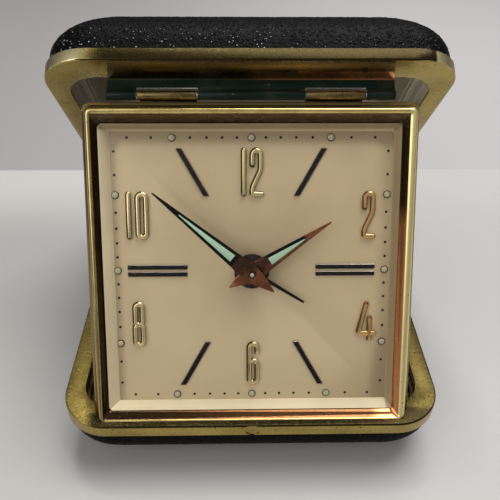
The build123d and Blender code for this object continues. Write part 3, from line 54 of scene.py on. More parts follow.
# where the two shells and the dial stand, in millimetres and degrees, as the solids have them
build = {"width": 80.2, "depth": 83.3, "corner": 10.0, "shell": 14.2, "front": -45.73,
         "lidOpening": 50.19977, "dialLean": 27.83987, "hingeBack": 1.3, "hingeDrop": 2.0,
         "leafSetback": 6.6, "leafReach": 3.6, "hingeAbove": 34.36, "hingeAhead": 1.59}


def axes(origin, xDir, zDir):
    # a matrix that takes millimetres in a local frame to metres in the object's frame
    z = Vector(zDir).normalized()
    x = Vector(xDir).normalized()
    y = z.cross(x)
    turn = Matrix((x, y, z)).transposed().to_4x4()
    return Matrix.Translation(Vector(origin) * mm) @ turn @ Matrix.Scale(mm, 4)


halfDepth = build["depth"] / 2
openAngle = radians(build["lidOpening"])
leanAngle = radians(build["dialLean"])
hingeY = build["front"] + build["depth"] + build["hingeBack"]
hingeZ = build["shell"] - build["hingeDrop"]
backReach = -(halfDepth + build["hingeBack"])
lidY = hingeY + backReach * cos(openAngle) + build["hingeDrop"] * sin(openAngle)
lidZ = hingeZ - backReach * sin(openAngle) + build["hingeDrop"] * cos(openAngle)
along = build["leafSetback"] - halfDepth
pinY = lidY + along * cos(openAngle) - build["leafReach"] * sin(openAngle)
pinZ = lidZ - along * sin(openAngle) - build["leafReach"] * cos(openAngle)
dialY = pinY - build["hingeAbove"] * sin(leanAngle) + build["hingeAhead"] * cos(leanAngle)
dialZ = pinZ - build["hingeAbove"] * cos(leanAngle) - build["hingeAhead"] * sin(leanAngle)
baseSpace = axes((0, build["front"] + halfDepth, build["shell"]), (-1, 0, 0), (0, 0, -1))
lidSpace = axes((0, lidY, lidZ), (1, 0, 0), (0, sin(openAngle), cos(openAngle)))
dialSpace = axes((0, dialY, dialZ), (1, 0, 0), (0, -cos(leanAngle), sin(leanAngle)))

bodyOf = {node: body for body, nodes in record["behaviour"]["bodies"].items() for node in nodes}
slotOf = {entry["node"]: entry["material_slot"] for entry in record["subparts"]}


# shader maths written as sums on wires
class Wire:
    def __init__(self, tree, socket):
        self.tree = tree
        self.socket = socket

    def node(self, kind, settings=None, values=None, output=0):
        # a node with its settings, then its sockets' numbers or links
        made = self.tree.nodes.new(kind)
        for key, value in (settings or {}).items():
            setattr(made, key, value)
        for key, value in (values or {}).items():
            if isinstance(value, Wire):
                self.tree.links.new(value.socket, made.inputs[key])
            elif isinstance(value, tuple) and made.inputs[key].type == "RGBA":
                made.inputs[key].default_value = (*value[:3], 1)
            else:
                made.inputs[key].default_value = value
        return Wire(self.tree, made.outputs[output] if len(made.outputs) else None)

    def maths(self, operation, first, second=0.0):
        return self.node("ShaderNodeMath", {"operation": operation}, {0: first, 1: second})

    def __add__(self, other): return self.maths("ADD", self, other)
    def __radd__(self, other): return self.maths("ADD", other, self)
    def __sub__(self, other): return self.maths("SUBTRACT", self, other)
    def __rsub__(self, other): return self.maths("SUBTRACT", other, self)
    def __mul__(self, other): return self.maths("MULTIPLY", self, other)
    def __rmul__(self, other): return self.maths("MULTIPLY", other, self)
    def __truediv__(self, other): return self.maths("DIVIDE", self, other)
    def __gt__(self, other): return self.maths("GREATER_THAN", self, other)
    def __lt__(self, other): return self.maths("LESS_THAN", self, other)
    def abs(self): return self.maths("ABSOLUTE", self)
    def power(self, other): return self.maths("POWER", self, other)

    def ramp(self, low, high, toLow=0.0, toHigh=1.0):
        return self.node("ShaderNodeMapRange", {"interpolation_type": "SMOOTHSTEP", "clamp": True},
                         {0: self, 1: low, 2: high, 3: toLow, 4: toHigh})

    def blend(self, first, second):
        # this wire is the share of the second colour
        return self.node("ShaderNodeMix", {"data_type": "RGBA"}, {0: self, 6: first, 7: second}, 2)

    def noise(self, size, detail=3.0, rough=0.55):
        # size is the pattern's grain in millimetres
        return self.node("ShaderNodeTexNoise", {},
                         {"Vector": self, "Scale": 1 / (size * mm), "Detail": detail, "Roughness": rough})

    def cells(self, size):
        return self.node("ShaderNodeTexVoronoi", {}, {"Vector": self, "Scale": 1 / (size * mm)})

    def along(self, origin, direction):
        # distance in mm from a point of the local frame, measured along a direction
        away = self.node("ShaderNodeVectorMath", {"operation": "SUBTRACT"}, {0: self, 1: tuple(origin)})
        return self.node("ShaderNodeVectorMath", {"operation": "DOT_PRODUCT"},
                         {0: away, 1: tuple(Vector(direction).normalized() / mm)}, 1)

    def bump(self, depth, strength=1.0):
        return self.node("ShaderNodeBump", {}, {"Height": self, "Distance": depth * mm, "Strength": strength})


def startFinish(name):
    material = bpy.data.materials.new(name)
    material.use_nodes = True
    material.node_tree.nodes.clear()
    pen = Wire(material.node_tree, None).node("ShaderNodeTexCoord", output=3)  # Object coordinates
    pen.material = material
    return pen


def endFinish(pen, fixed, **linked):
    # fixed holds the shader's own numbers, linked what changes over the surface
    names = {"colour": "Base Color", "rough": "Roughness", "metal": "Metallic", "normal": "Normal"}
    sockets = {**fixed, **{names[key]: linked[key] for key in linked}}
    shader = pen.node("ShaderNodeBsdfPrincipled", {}, sockets)
    pen.node("ShaderNodeOutputMaterial", {}, {"Surface": shader})
    return pen.material


def planes(pen, space):
    # the three local distances of a frame, in mm
    origin = space.translation
    turn = space.to_3x3()
    return [pen.along(origin, turn.col[axis]) for axis in range(3)]


def bridged(low, high, count):
    # four-sided faces between two closed rings, each given by the number of its first point
    return [(low + k, low + (k + 1) % count, high + (k + 1) % count, high + k) for k in range(count)]


def placed(name, data):
    thing = bpy.data.objects.new(name, data)
    scene.collection.objects.link(thing)
    return thing


def reworked(mesh, work):
    # the mesh goes through a function that edits its faces
    shape = bmesh.new()
    shape.from_mesh(mesh)
    work(shape)
    shape.to_mesh(mesh)
    shape.free()


def meshPiece(name, points, faces, material, space=Matrix()):
    mesh = bpy.data.meshes.new(name)
    mesh.from_pydata(points, [], faces)
    mesh.transform(space)
    mesh.validate()
    reworked(mesh, lambda shape: bmesh.ops.recalc_face_normals(shape, faces=shape.faces))
    mesh.polygons.foreach_set("use_smooth", [True] * len(mesh.polygons))
    mesh.materials.append(material)
    return placed(name, mesh)


def applied(piece):
    # the piece with its modifiers worked into a plain mesh
    bpy.context.view_layer.update()
    graph = bpy.context.evaluated_depsgraph_get()
    mesh = bpy.data.meshes.new_from_object(piece.evaluated_get(graph))
    piece.modifiers.clear()
    piece.data = mesh


def creased(piece, angle):
    # smooth shading, with every edge sharper than the angle kept hard
    def mark(shape):
        for edge in shape.edges:
            edge.smooth = len(edge.link_faces) == 2 and edge.calc_face_angle(0) < radians(angle)

    reworked(piece.data, mark)
    piece.data.polygons.foreach_set("use_smooth", [True] * len(piece.data.polygons))
    return piece


def merged(node, name):
    # a copy of a node's solid with its triangles joined into whole faces
    def whole(shape):
        bmesh.ops.remove_doubles(shape, verts=shape.verts, dist=1e-6)
        bmesh.ops.dissolve_limit(shape, angle_limit=radians(0.6), verts=shape.verts, edges=shape.edges)

    mesh = frame["nodes"][node].data.copy()
    mesh.name = name
    mesh.materials.clear()
    reworked(mesh, whole)
    return placed(name, mesh)


def finished(node, material, edge=0.06, steps=2, angle=32, edgeMaterial=None):
    # the node's solid with worked edges, in place of the bare solid
    piece = merged(node, node + "_finished")
    piece.data.materials.append(material)
    rounding = piece.modifiers.new("edges", "BEVEL")
    rounding.width = edge * mm
    rounding.segments = steps
    rounding.limit_method = "ANGLE"
    rounding.angle_limit = radians(angle)
    rounding.use_clamp_overlap = True
    if edgeMaterial:
        piece.data.materials.append(edgeMaterial)
        rounding.material = 1
    applied(piece)
    settle(creased(piece, angle), node)
    return piece


def settle(piece, node, *others):
    # the piece rides where the node rides, and stands for it
    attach(piece, bodyOf[node])
    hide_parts(node, *others)


def reshaped(piece, space, rule):
    # each point goes where the rule says, in millimetres of a local frame
    piece.data.transform(space.inverted())
    for vert in piece.data.vertices:
        vert.co = rule(*vert.co)
    piece.data.transform(space)


def join(name, pieces):
    # several loose pieces made into one mesh, with their materials kept
    shape, slots = bmesh.new(), []
    for piece in pieces:
        mesh = piece.data
        if mesh.materials[0] not in slots:
            slots.append(mesh.materials[0])
        mesh.polygons.foreach_set("material_index", [slots.index(mesh.materials[0])] * len(mesh.polygons))
        shape.from_mesh(mesh)
        bpy.data.objects.remove(piece)
    mesh = bpy.data.meshes.new(name)
    shape.to_mesh(mesh)
    shape.free()
    for material in slots:
        mesh.materials.append(material)
    return placed(name, mesh)


# camera, set from the photo's perspective
camera = {"place": (-2.679, -120.818, 117.607), "pitch": 37.66, "yaw": -1.41, "roll": 0.56, "lens": 43.2}
right, down, ahead = (Matrix.Rotation(radians(camera["roll"]), 3, "Z")
                      @ Matrix.Rotation(radians(camera["pitch"]), 3, "X")
                      @ Matrix.Rotation(radians(camera["yaw"]), 3, "Y")
                      @ Matrix(((1, 0, 0), (0, 0, -1), (0, 1, 0))))
lensData = bpy.data.cameras.new("viewpoint")
lensData.lens = camera["lens"]
lensData.sensor_width = 36.0
lensData.clip_start = 0.005
scene.camera = placed("viewpoint", lensData)
scene.camera.matrix_world = (Matrix.Translation(Vector(camera["place"]) * mm)
                             @ Matrix((right, -down, -ahead)).transposed().to_4x4())
print("camera set")

# pale table with a wall tone beyond it, and soft light from above on the right
studio = {"wallLine": 82.5, "tableSize": 6.0, "roomLevel": 0.36, "roomColour": (1.0, 0.985, 0.965),
          "nearLeft": (0.43, 0.42, 0.40), "nearRight": (0.42, 0.41, 0.40),
          "farLeft": (0.27, 0.26, 0.255), "farRight": (0.40, 0.385, 0.387),
          "keyPlace": (0.15, 0.14, 0.62), "keySize": 0.46, "keyPower": 4.7,
          "fillPlace": (-0.45, -0.50, 0.45), "fillSize": 0.60, "fillPower": 1.9,
          "glintPlace": (-0.10, 0.30, 0.75), "glintSize": 0.10, "glintPower": 1.0,
          "aim": (0, 0, 0.04), "behind": (0.56, 0.54, 0.54), "poolShade": (0.02, 0.02, 0.02)}


def tableFinish():
    pen = startFinish("tableTop")
    x = pen.along((0, 0, 0), (1, 0, 0))
    y = pen.along((0, 0, 0), (0, 1, 0))
    beyond = y.ramp(studio["wallLine"] - 0.4, studio["wallLine"] + 0.4)
    # painted shade: the wall tone beyond the table line is painted darker on the left than on the right
    sideways = x.ramp(-140, 140)
    wall = sideways.blend(studio["farLeft"], studio["farRight"])
    near = sideways.blend(studio["nearLeft"], studio["nearRight"])
    # the table under the case is in its shade
    pool = y.ramp(-35, 15) * y.ramp(35, 75, 1.0, 0.0) * x.ramp(-70, 20, 0.30, 0.06)
    near = pool.blend(near, studio["poolShade"])
    grain = pen.noise(1.3, 2) * 0.6 + pen.noise(0.5, 2) * 0.4
    return endFinish(pen, {"Specular IOR Level": 0.25}, colour=beyond.blend(near, wall),
                     rough=grain.ramp(0.3, 0.7, 0.52, 0.62), normal=grain.bump(0.05, 0.35))


size = studio["tableSize"]
table = meshPiece("tableTop", [(-size, -size, 0), (size, -size, 0), (size, size, 0), (-size, size, 0)],
                  [(0, 1, 2, 3)], tableFinish())
table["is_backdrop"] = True

for kind in ("key", "fill", "glint"):
    light = bpy.data.lights.new(kind + "Light", "AREA")
    light.shape = "SQUARE"
    light.size = studio[kind + "Size"]
    light.energy = studio[kind + "Power"]
    place = Vector(studio[kind + "Place"])
    aim = (Vector(studio["aim"]) - place).to_track_quat("-Z", "Y")
    placed(light.name, light).matrix_world = Matrix.Translation(place) @ aim.to_matrix().to_4x4()

room = bpy.data.worlds.new("room")
room.use_nodes = True
room.node_tree.nodes.clear()
air = Wire(room.node_tree, None)
direction = air.node("ShaderNodeTexCoord")
backward, upward = (direction.node("ShaderNodeSeparateXYZ", {}, {0: direction}, axis) for axis in (1, 2))
glow = upward.ramp(-0.2, 0.9, 0.5, 1.3) * backward.ramp(-0.5, 0.75, 1.15, 0.42)
lit = air.node("ShaderNodeBackground", {}, {0: studio["roomColour"], 1: glow * studio["roomLevel"]})
seen = air.node("ShaderNodeBackground", {}, {0: studio["behind"], 1: 1.0})
direct = air.node("ShaderNodeLightPath")  # Is Camera Ray
mixed = direct.node("ShaderNodeMixShader", {}, {0: direct, 1: lit, 2: seen})
air.node("ShaderNodeOutputWorld", {}, {0: mixed})
scene.world = room
scene.view_settings.view_transform = "Standard"
print("stage and light set")

# brass of the rims: satin and pitted, with painted highlights at the ends of the lid's front band and painted
# shade where the bands and flats turn dark
rimBrass = {"bright": (0.44, 0.335, 0.09), "dull": (0.32, 0.235, 0.062), "pit": (0.045, 0.028, 0.012),
            "shadow": (0.026, 0.019, 0.008), "paintedHighlight": (0.92, 0.80, 0.46), "roughLow": 0.24,
            "roughHigh": 0.42, "basePits": 0.9, "lidPits": 0.35, "baseBand": 0.97, "lidBand": 0.76,
            "bandFrom": 1.5}


def rimFinish(side, space):
    # z runs from the flat up the outer band, y from the free edge to the hinge
    isLid = side == "lid"
    pen = startFinish(side + "RimBrass")
    x, y, z = planes(pen, space)
    if isLid:
        # the front band is painted dark between its bright ends as painted shade, and the flat's front edge
        # is painted darker too
        band = y.ramp(-41.0, -40.6, 1.0, 0.0) * z.ramp(0.05, 0.2)
        paintedShade = band * x.ramp(-34, -26) * x.ramp(35, 36.5, 1.0, 0.0) * x.ramp(-10, 28, 0.86, 0.985)
        paintedShade = paintedShade + y.ramp(-41.0, -40.3, 0.6, 0.0) * z.ramp(0.0, 0.1, 1.0, 0.0) * 0.5
    else:
        # the flat is painted dark along the front, in front of the clock, and on the right: painted shade and
        # painted dark reflections
        flat = z.ramp(0.3, 0.5, 1.0, 0.0)
        front = y.ramp(-38.6, -36.8, 0.99, 0.0) * x.abs().ramp(31, 36, 1.0, 0.2)
        paintedShade = flat * front + flat * x.ramp(-31, -28.5, 0.66, 0.0)
    cloud = pen.noise(9.0, 4)
    mottle = pen.noise(0.75, 4, 0.7)
    base = (cloud * 0.6 + mottle * 0.4).ramp(0.36, 0.62).blend(rimBrass["dull"], rimBrass["bright"])
    speck = pen.cells(1.9).ramp(0.07, 0.15, 1.0, 0.0) * (pen.noise(4.0, 2) > 0.5)
    fine = pen.cells(0.75).ramp(0.14, 0.26, 1.0, 0.0) * (pen.noise(2.3, 2) > 0.5)
    dark = (speck + fine * 0.7).ramp(0.0, 1.0, 0.0, rimBrass[side + "Pits"])
    # a dark line of painted shade where the flat turns into the band, as far in from the rounded outline
    # everywhere
    overX = (x.abs() - (build["width"] / 2 - build["corner"])).ramp(0, 20, 0, 20)
    overY = (y.abs() - (halfDepth - build["corner"])).ramp(0, 20, 0, 20)
    inward = build["corner"] - (overX * overX + overY * overY).power(0.5)
    outline = inward.ramp(0.28, 0.5, 1.0, 0.0) * inward.ramp(0.02, 0.1) * z.ramp(0.2, 0.3, 1.0, 0.0)
    paintedShade = (paintedShade + outline * 0.75).ramp(0.0, 1.0)
    grain = pen.noise(0.3, 2).ramp(0.35, 0.65, 0.9, 1.04)
    if isLid:
        # painted highlight: the ends of the lid's front band are painted pale
        highlightShare = y.ramp(-38.5, -37.5, 1.0, 0.0) * z.ramp(0.05, 0.2) * x.abs().ramp(29, 33, 0.0, 0.85)
        base = highlightShare.blend(base, rimBrass["paintedHighlight"])
    colour = (paintedShade * grain).ramp(0.0, 1.0).blend(dark.blend(base, rimBrass["pit"]), rimBrass["shadow"])
    brushed = pen.noise(0.22, 3, 0.7)
    surface = (brushed * 0.5 + mottle * 0.5 - dark).bump(0.035, 0.55)
    return endFinish(pen, {"Metallic": 1.0}, colour=colour, normal=surface,
                     rough=(mottle * 0.5 + dark).ramp(0.1, 0.8, rimBrass["roughLow"], rimBrass["roughHigh"]))


def simpleMetal(name, light, shade, rough, grain=0.4, relief=0.02, cloud=5.0):
    # plain metal, clouded between two tones, with a fine grain; sizes in mm
    pen = startFinish(name)
    patches = pen.noise(cloud, 4)
    fine = pen.noise(grain, 3, 0.65)
    return endFinish(pen, {"Metallic": 1.0}, colour=patches.ramp(0.35, 0.65).blend(shade, light),
                     rough=(patches * 0.5 + fine * 0.5).ramp(0.35, 0.65, *rough),
                     normal=fine.bump(relief, 0.4))


for side, space in (("base", baseSpace), ("lid", lidSpace)):
    rim = finished(side + "_rim", rimFinish(side, space), edge=0.12, steps=3)
    share, above = rimBrass[side + "Band"], rimBrass["bandFrom"]
    reshaped(rim, space, lambda x, y, z: (x, y, z * share if z > above else z))
tray = {"light": (0.22, 0.16, 0.08), "shade": (0.10, 0.07, 0.035), "rough": (0.22, 0.38), "grain": 0.5,
        "relief": 0.01}
finished("base_tray", simpleMetal("trayBronze", **tray), edge=0.15)
print("rims and trays finished")

# cloth lining glued into the trays
lining = {"colour": (0.44, 0.39, 0.30), "shade": (0.27, 0.24, 0.18), "litWall": (0.88, 0.83, 0.68)}


def liningFinish(side):
    pen = startFinish(side + "Lining")
    fibres = pen.noise(0.18, 4, 0.8)
    cloud = pen.noise(6.0, 3)
    colour = (fibres * 0.6 + cloud * 0.4).ramp(0.35, 0.65).blend(lining["shade"], lining["colour"])
    if side == "lid":
        # painted light: the right wall is painted lighter, where it catches the light
        colour = planes(pen, lidSpace)[0].ramp(24, 29, 0.0, 0.8).blend(colour, lining["litWall"])
    cloth = {"Sheen Weight": 0.5, "Sheen Roughness": 0.4, "Specular IOR Level": 0.2, "Roughness": 0.95}
    return endFinish(pen, cloth, colour=colour, normal=fibres.bump(0.08, 0.8))


liningCloth = liningFinish("lid")
finished("base_lining", liningFinish("base"), edge=0.1)
finished("lid_lining", liningCloth, edge=0.1)
finished("lid_tray", liningCloth, edge=0.15)

# padded shells in black pebbled leatherette
cushion = {"start": 0.65, "bandTop": 0.66, "shoulder": 4.2, "roll": 11.2, "cornerGrowth": 2.0, "skin": 0.45,
           "gridSide": 180, "rollRings": 58, "bandRings": 10, "innerRings": 8, "grainSize": 1.02,
           "grainDepth": 0.10, "crown": 0.25, "black": (0.0012, 0.0012, 0.0015),
           "worn": (0.007, 0.007, 0.0075), "paintedGlint": (0.62, 0.63, 0.65), "pebble": 0.62}


def roundedLoop(width, depth, corner, count):
    # count points on each side, from one corner's middle to the next
    loop = []
    arc = corner * pi / 4
    for side in range(4):
        length, across = (width, depth) if side % 2 == 0 else (depth, width)
        straight = length - 2 * corner
        for step in range(count):
            run = (straight + 2 * arc) * step / count
            if run < arc:
                angle = -pi * 3 / 4 + run / corner
                x, y = -straight / 2 + corner * cos(angle), corner * sin(angle)
            elif run < arc + straight:
                x, y = -straight / 2 + run - arc, -corner
            else:
                angle = -pi / 2 + (run - arc - straight) / corner
                x, y = straight / 2 + corner * cos(angle), corner * sin(angle)
            y -= across / 2 - corner
            for _ in range(side):
                x, y = -y, x
            loop.append((x, y))
    return loop


def crownPoint(edge, a, b, n):
    # a and b run from -1 to 1 over a square that is drawn to the rounded edge
    far = max(abs(a), abs(b))
    if far == 0:
        return 0.0, 0.0
    u, v = a / far, b / far
    if v == -1 and u < 1:
        place = (u + 1) / 2 * n
    elif u == 1 and v < 1:
        place = n + (v + 1) / 2 * n
    elif v == 1 and u > -1:
        place = 2 * n + (1 - u) / 2 * n
    else:
        place = 3 * n + (1 - v) / 2 * n
    share = place - int(place)
    (x0, y0), (x1, y1) = edge[int(place) % len(edge)], edge[(int(place) + 1) % len(edge)]
    return (x0 + (x1 - x0) * share) * far, (y0 + (y1 - y0) * share) * far


def cushionMesh(name, space, material, flatten):
    # rings go up the band and over the roll, then a grid closes the crown and more rings line the inside
    n = cushion["gridSide"]
    start, roll, skin = cushion["start"], cushion["roll"], cushion["skin"]
    shoulder, rise = cushion["shoulder"], build["shell"] - cushion["shoulder"]
    points, faces = [], []

    def ring(inset, corner, height):
        loop = roundedLoop(build["width"] - 2 * inset, build["depth"] - 2 * inset, corner, n)
        first = len(points)
        points.extend((x, y, height) for x, y in loop)
        return first

    def rollRing(angle, gap=0.0):
        # a ring of the roll, from the band up to the crown; the gap is the skin, for the inner face
        drawn = 1 - cos(angle)
        corner = build["corner"] - start - gap + cushion["cornerGrowth"] * drawn
        return ring(start + gap + (roll - gap) * drawn, corner, shoulder + (rise - gap) * sin(angle))

    rings = []
    for step in range(cushion["bandRings"]):
        height = cushion["bandTop"] + (shoulder - cushion["bandTop"]) * step / cushion["bandRings"]
        rings.append(ring(start, build["corner"] - start, height))
    rings += [rollRing(pi / 2 * step / cushion["rollRings"]) for step in range(cushion["rollRings"])]
    count = 4 * n
    for low, high in zip(rings, rings[1:]):
        faces += bridged(low, high, count)
    # the crowned middle is a square grid whose rings follow the same rounded outline
    inset = start + roll
    edge = roundedLoop(build["width"] - 2 * inset, build["depth"] - 2 * inset,
                       build["corner"] - start + cushion["cornerGrowth"], n)
    grid = {(i, j): len(points) + i * (n + 1) + j for i in range(n + 1) for j in range(n + 1)}
    points += [(*crownPoint(edge, 2 * i / n - 1, 2 * j / n - 1, n), build["shell"]) for i, j in grid]
    faces += [(grid[i, j], grid[i + 1, j], grid[i + 1, j + 1], grid[i, j + 1])
              for i in range(n) for j in range(n)]
    rim = ([grid[i, 0] for i in range(n)] + [grid[n, j] for j in range(n)]
           + [grid[n - i, n] for i in range(n)] + [grid[0, n - j] for j in range(n)])
    low = rings[-1]
    faces += [(low + k, low + (k + 1) % count, rim[(k + 1) % count], rim[k]) for k in range(count)]
    outerCount = len(points)
    inner = [ring(start + skin, build["corner"] - start - skin, cushion["bandTop"])]
    steps = cushion["innerRings"]
    inner += [rollRing(pi / 2 * step / steps, skin) for step in range(1, steps + 1)]
    for low, high in zip(inner, inner[1:]):
        faces += bridged(high, low, count)
    faces += [(inner[-1] + k, len(points), inner[-1] + (k + 1) % count) for k in range(count)]
    points.append((0, 0, build["shell"] - skin))
    faces += bridged(inner[0], rings[0], count)

    def pebbles(shape):
        # pebbles raised along the normals; the grain layer keeps their height for the finish
        grain = shape.verts.layers.float.new("grain")
        top = build["shell"]
        lifts = []
        for vert in list(shape.verts)[:outerCount]:
            place = vert.co / cushion["grainSize"]
            near = noise.voronoi(place + noise.noise_vector(place * 0.6) * 0.35)[0]
            gap = min((near[1] - near[0]) / 0.42, 1.0)
            height = gap * gap * (3 - 2 * gap) * (0.8 + 0.2 * noise.noise(vert.co / 7.0))
            vert[grain] = height
            fade = min(max(vert.co.z - 2.6, 0.0), 1.0)
            lift = (height - 0.75) * cushion["grainDepth"] * (0.35 + 0.65 * fade)
            if flatten and vert.co.z > top - 0.3:
                lift = min(lift, max(top - vert.co.z, 0.0))
            if not flatten and vert.co.z > top - 0.01:
                # the upper shell's crown is slightly puffed between its edges
                across, up = build["width"] / 2 - inset, halfDepth - inset
                reach = max(abs(vert.co.x) / across, abs(vert.co.y) / up)
                lift += cushion["crown"] * max(1 - reach * reach, 0.0)
            lifts.append((vert, vert.normal * lift))
        for vert, lift in lifts:
            vert.co += lift
        if flatten:
            # the lower shell stands flat on the table
            for vert in shape.verts:
                vert.co.z = min(vert.co.z, top)

    piece = meshPiece(name, points, faces, material)
    reworked(piece.data, pebbles)
    piece.data.transform(space)
    return piece


def leatherFinish():
    pen = startFinish("blackLeatherette")
    grain = pen.node("ShaderNodeAttribute", {"attribute_name": "grain"}, output=2)
    cloud = pen.noise(8.0, 3)
    pores = pen.noise(0.16, 3, 0.7)
    x, y, z = planes(pen, lidSpace)
    cell = pen.cells(cushion["pebble"])
    pebble = cell.ramp(0.02, 0.6, 1.0, 0.0) * (grain * 0.3 + 0.7)
    # painted glints: pale specks on the pebble tops along the front edge of the lid, standing in for
    # highlights
    paintedGlint = cell.ramp(0.06, 0.24, 1.0, 0.0) * pen.noise(0.8, 2).ramp(0.42, 0.56)
    paintedGlint = paintedGlint * z.ramp(3.5, 9.0, 1.0, 0.06) * y.ramp(-34, -30, 1.0, 0.0) * x.ramp(0, 26, 1.0, 0.3)
    worn = (pebble * (cloud * 0.6 + 0.4)).ramp(0.3, 0.9)
    colour = paintedGlint.blend(worn.blend(cushion["black"], cushion["worn"]), cushion["paintedGlint"])
    return endFinish(pen, {"Specular IOR Level": 0.05}, colour=colour,
                     normal=(pebble + pores * 0.15).bump(0.2),
                     rough=(pebble * 0.7 + pores * 0.3).ramp(0.2, 0.9, 0.45, 0.12))


leatherette = leatherFinish()
for side, space in (("base", baseSpace), ("lid", lidSpace)):
    skin = cushionMesh(side + "_cushion", space, leatherette, side == "base")
    settle(skin, side + "_leather", side + "_padding")
print("cushions made")

# hinge parts: strip dark and glossy, knuckles satin brass
stripMetal = {"deep": (0.003, 0.013, 0.008), "edge": (0.30, 0.27, 0.16), "foot": (0.13, 0.09, 0.04),
              "glow": (0.95, 0.42, 0.17), "cut": (0.80, 0.77, 0.68), "uncut": (0.02, 0.02, 0.012),
              "notchAt": 15.8, "notchHalf": 6.4, "footWidth": 0.955, "footFrom": -38.0}


def stripFinish():
    pen = startFinish("stripGloss")
    x, y, z = planes(pen, lidSpace)
    cloud = pen.noise(7.0, 3)
    worn = pen.cells(2.0).ramp(0.04, 0.09, 1.0, 0.0) * (pen.noise(5.0, 2) > 0.5)
    colour = (worn + cloud.ramp(0.5, 0.8, 0.0, 0.05)).blend(stripMetal["deep"], stripMetal["edge"])
    # the foot lies bare on the rim, with a painted warm reflection along its front half
    foot = z.ramp(-0.6, -0.4) * y.ramp(-35.4, -35.2, 1.0, 0.0)
    paintedReflection = x.ramp(-3, 5) * y.ramp(-38.2, -37.6) * x.ramp(15, 19, 0.7, 1.0)
    sheet = paintedReflection.blend(stripMetal["foot"], stripMetal["glow"])
    return endFinish(pen, {"Specular IOR Level": 0.16}, colour=foot.blend(colour, sheet), metal=foot,
                     rough=cloud.ramp(0.3, 0.7, 0.2, 0.3), normal=pen.noise(3.0, 2).bump(0.02, 0.2))


def cutEdgeFinish():
    # painted highlight: the edges are bright metal only round the notches and dark elsewhere
    pen = startFinish("cutEdge")
    x, y, z = planes(pen, lidSpace)
    half = stripMetal["notchHalf"]
    near = (x.abs() - stripMetal["notchAt"]).abs().ramp(half, half + 0.3, 1.0, 0.0)
    near = near * z.ramp(-1.1, -0.8, 1.0, 0.0)
    return endFinish(pen, {"Metallic": 1.0}, colour=near.blend(stripMetal["uncut"], stripMetal["cut"]),
                     rough=pen.noise(0.8, 2).ramp(0.3, 0.7, 0.2, 0.35))


knuckle = {"light": (0.20, 0.15, 0.06), "shade": (0.11, 0.082, 0.036), "rough": (0.22, 0.4), "grain": 0.35,
           "relief": 0.03, "cloud": 2.0}
pin = {"light": (0.56, 0.56, 0.57), "shade": (0.40, 0.40, 0.42), "rough": (0.16, 0.3)}
hingeMetal = simpleMetal("hingeBrass", **knuckle)
steel = simpleMetal("polishedSteel", **pin)
strip = finished("clock_leaf", stripFinish(), edge=0.09, edgeMaterial=cutEdgeFinish())
footWidth, footFrom = stripMetal["footWidth"], stripMetal["footFrom"]
reshaped(strip, lidSpace, lambda x, y, z: (x * footWidth if y < footFrom else x, y, z))
for node in ("clock_knuckles", "base_hinge_leaf", "lid_hinge_leaf"):
    finished(node, hingeMetal, edge=0.06)
for node in ("case_hinge_pin", "clock_hinge_pin"):
    finished(node, steel, edge=0.05)
print("hinges finished")

# bezel: polished bead outside, slope inside painted dark as a painted reflection
bezelMetal = {"bead": (0.78, 0.61, 0.24), "beadShade": (0.55, 0.42, 0.16), "rightBeadHighlight": (0.95, 0.82, 0.40),
              "leftBead": (0.26, 0.205, 0.10), "slope": (0.04, 0.024, 0.012),
              "upperSlope": (0.26, 0.17, 0.085), "copper": (0.50, 0.22, 0.09), "dust": (0.25, 0.2, 0.12),
              "spot": (0.16, 0.10, 0.04), "skirt": (0.30, 0.21, 0.082), "lowerSkirt": (0.03, 0.017, 0.006),
              "groove": (0.03, 0.02, 0.01), "cornerSteps": 7, "standoff": 0.03}


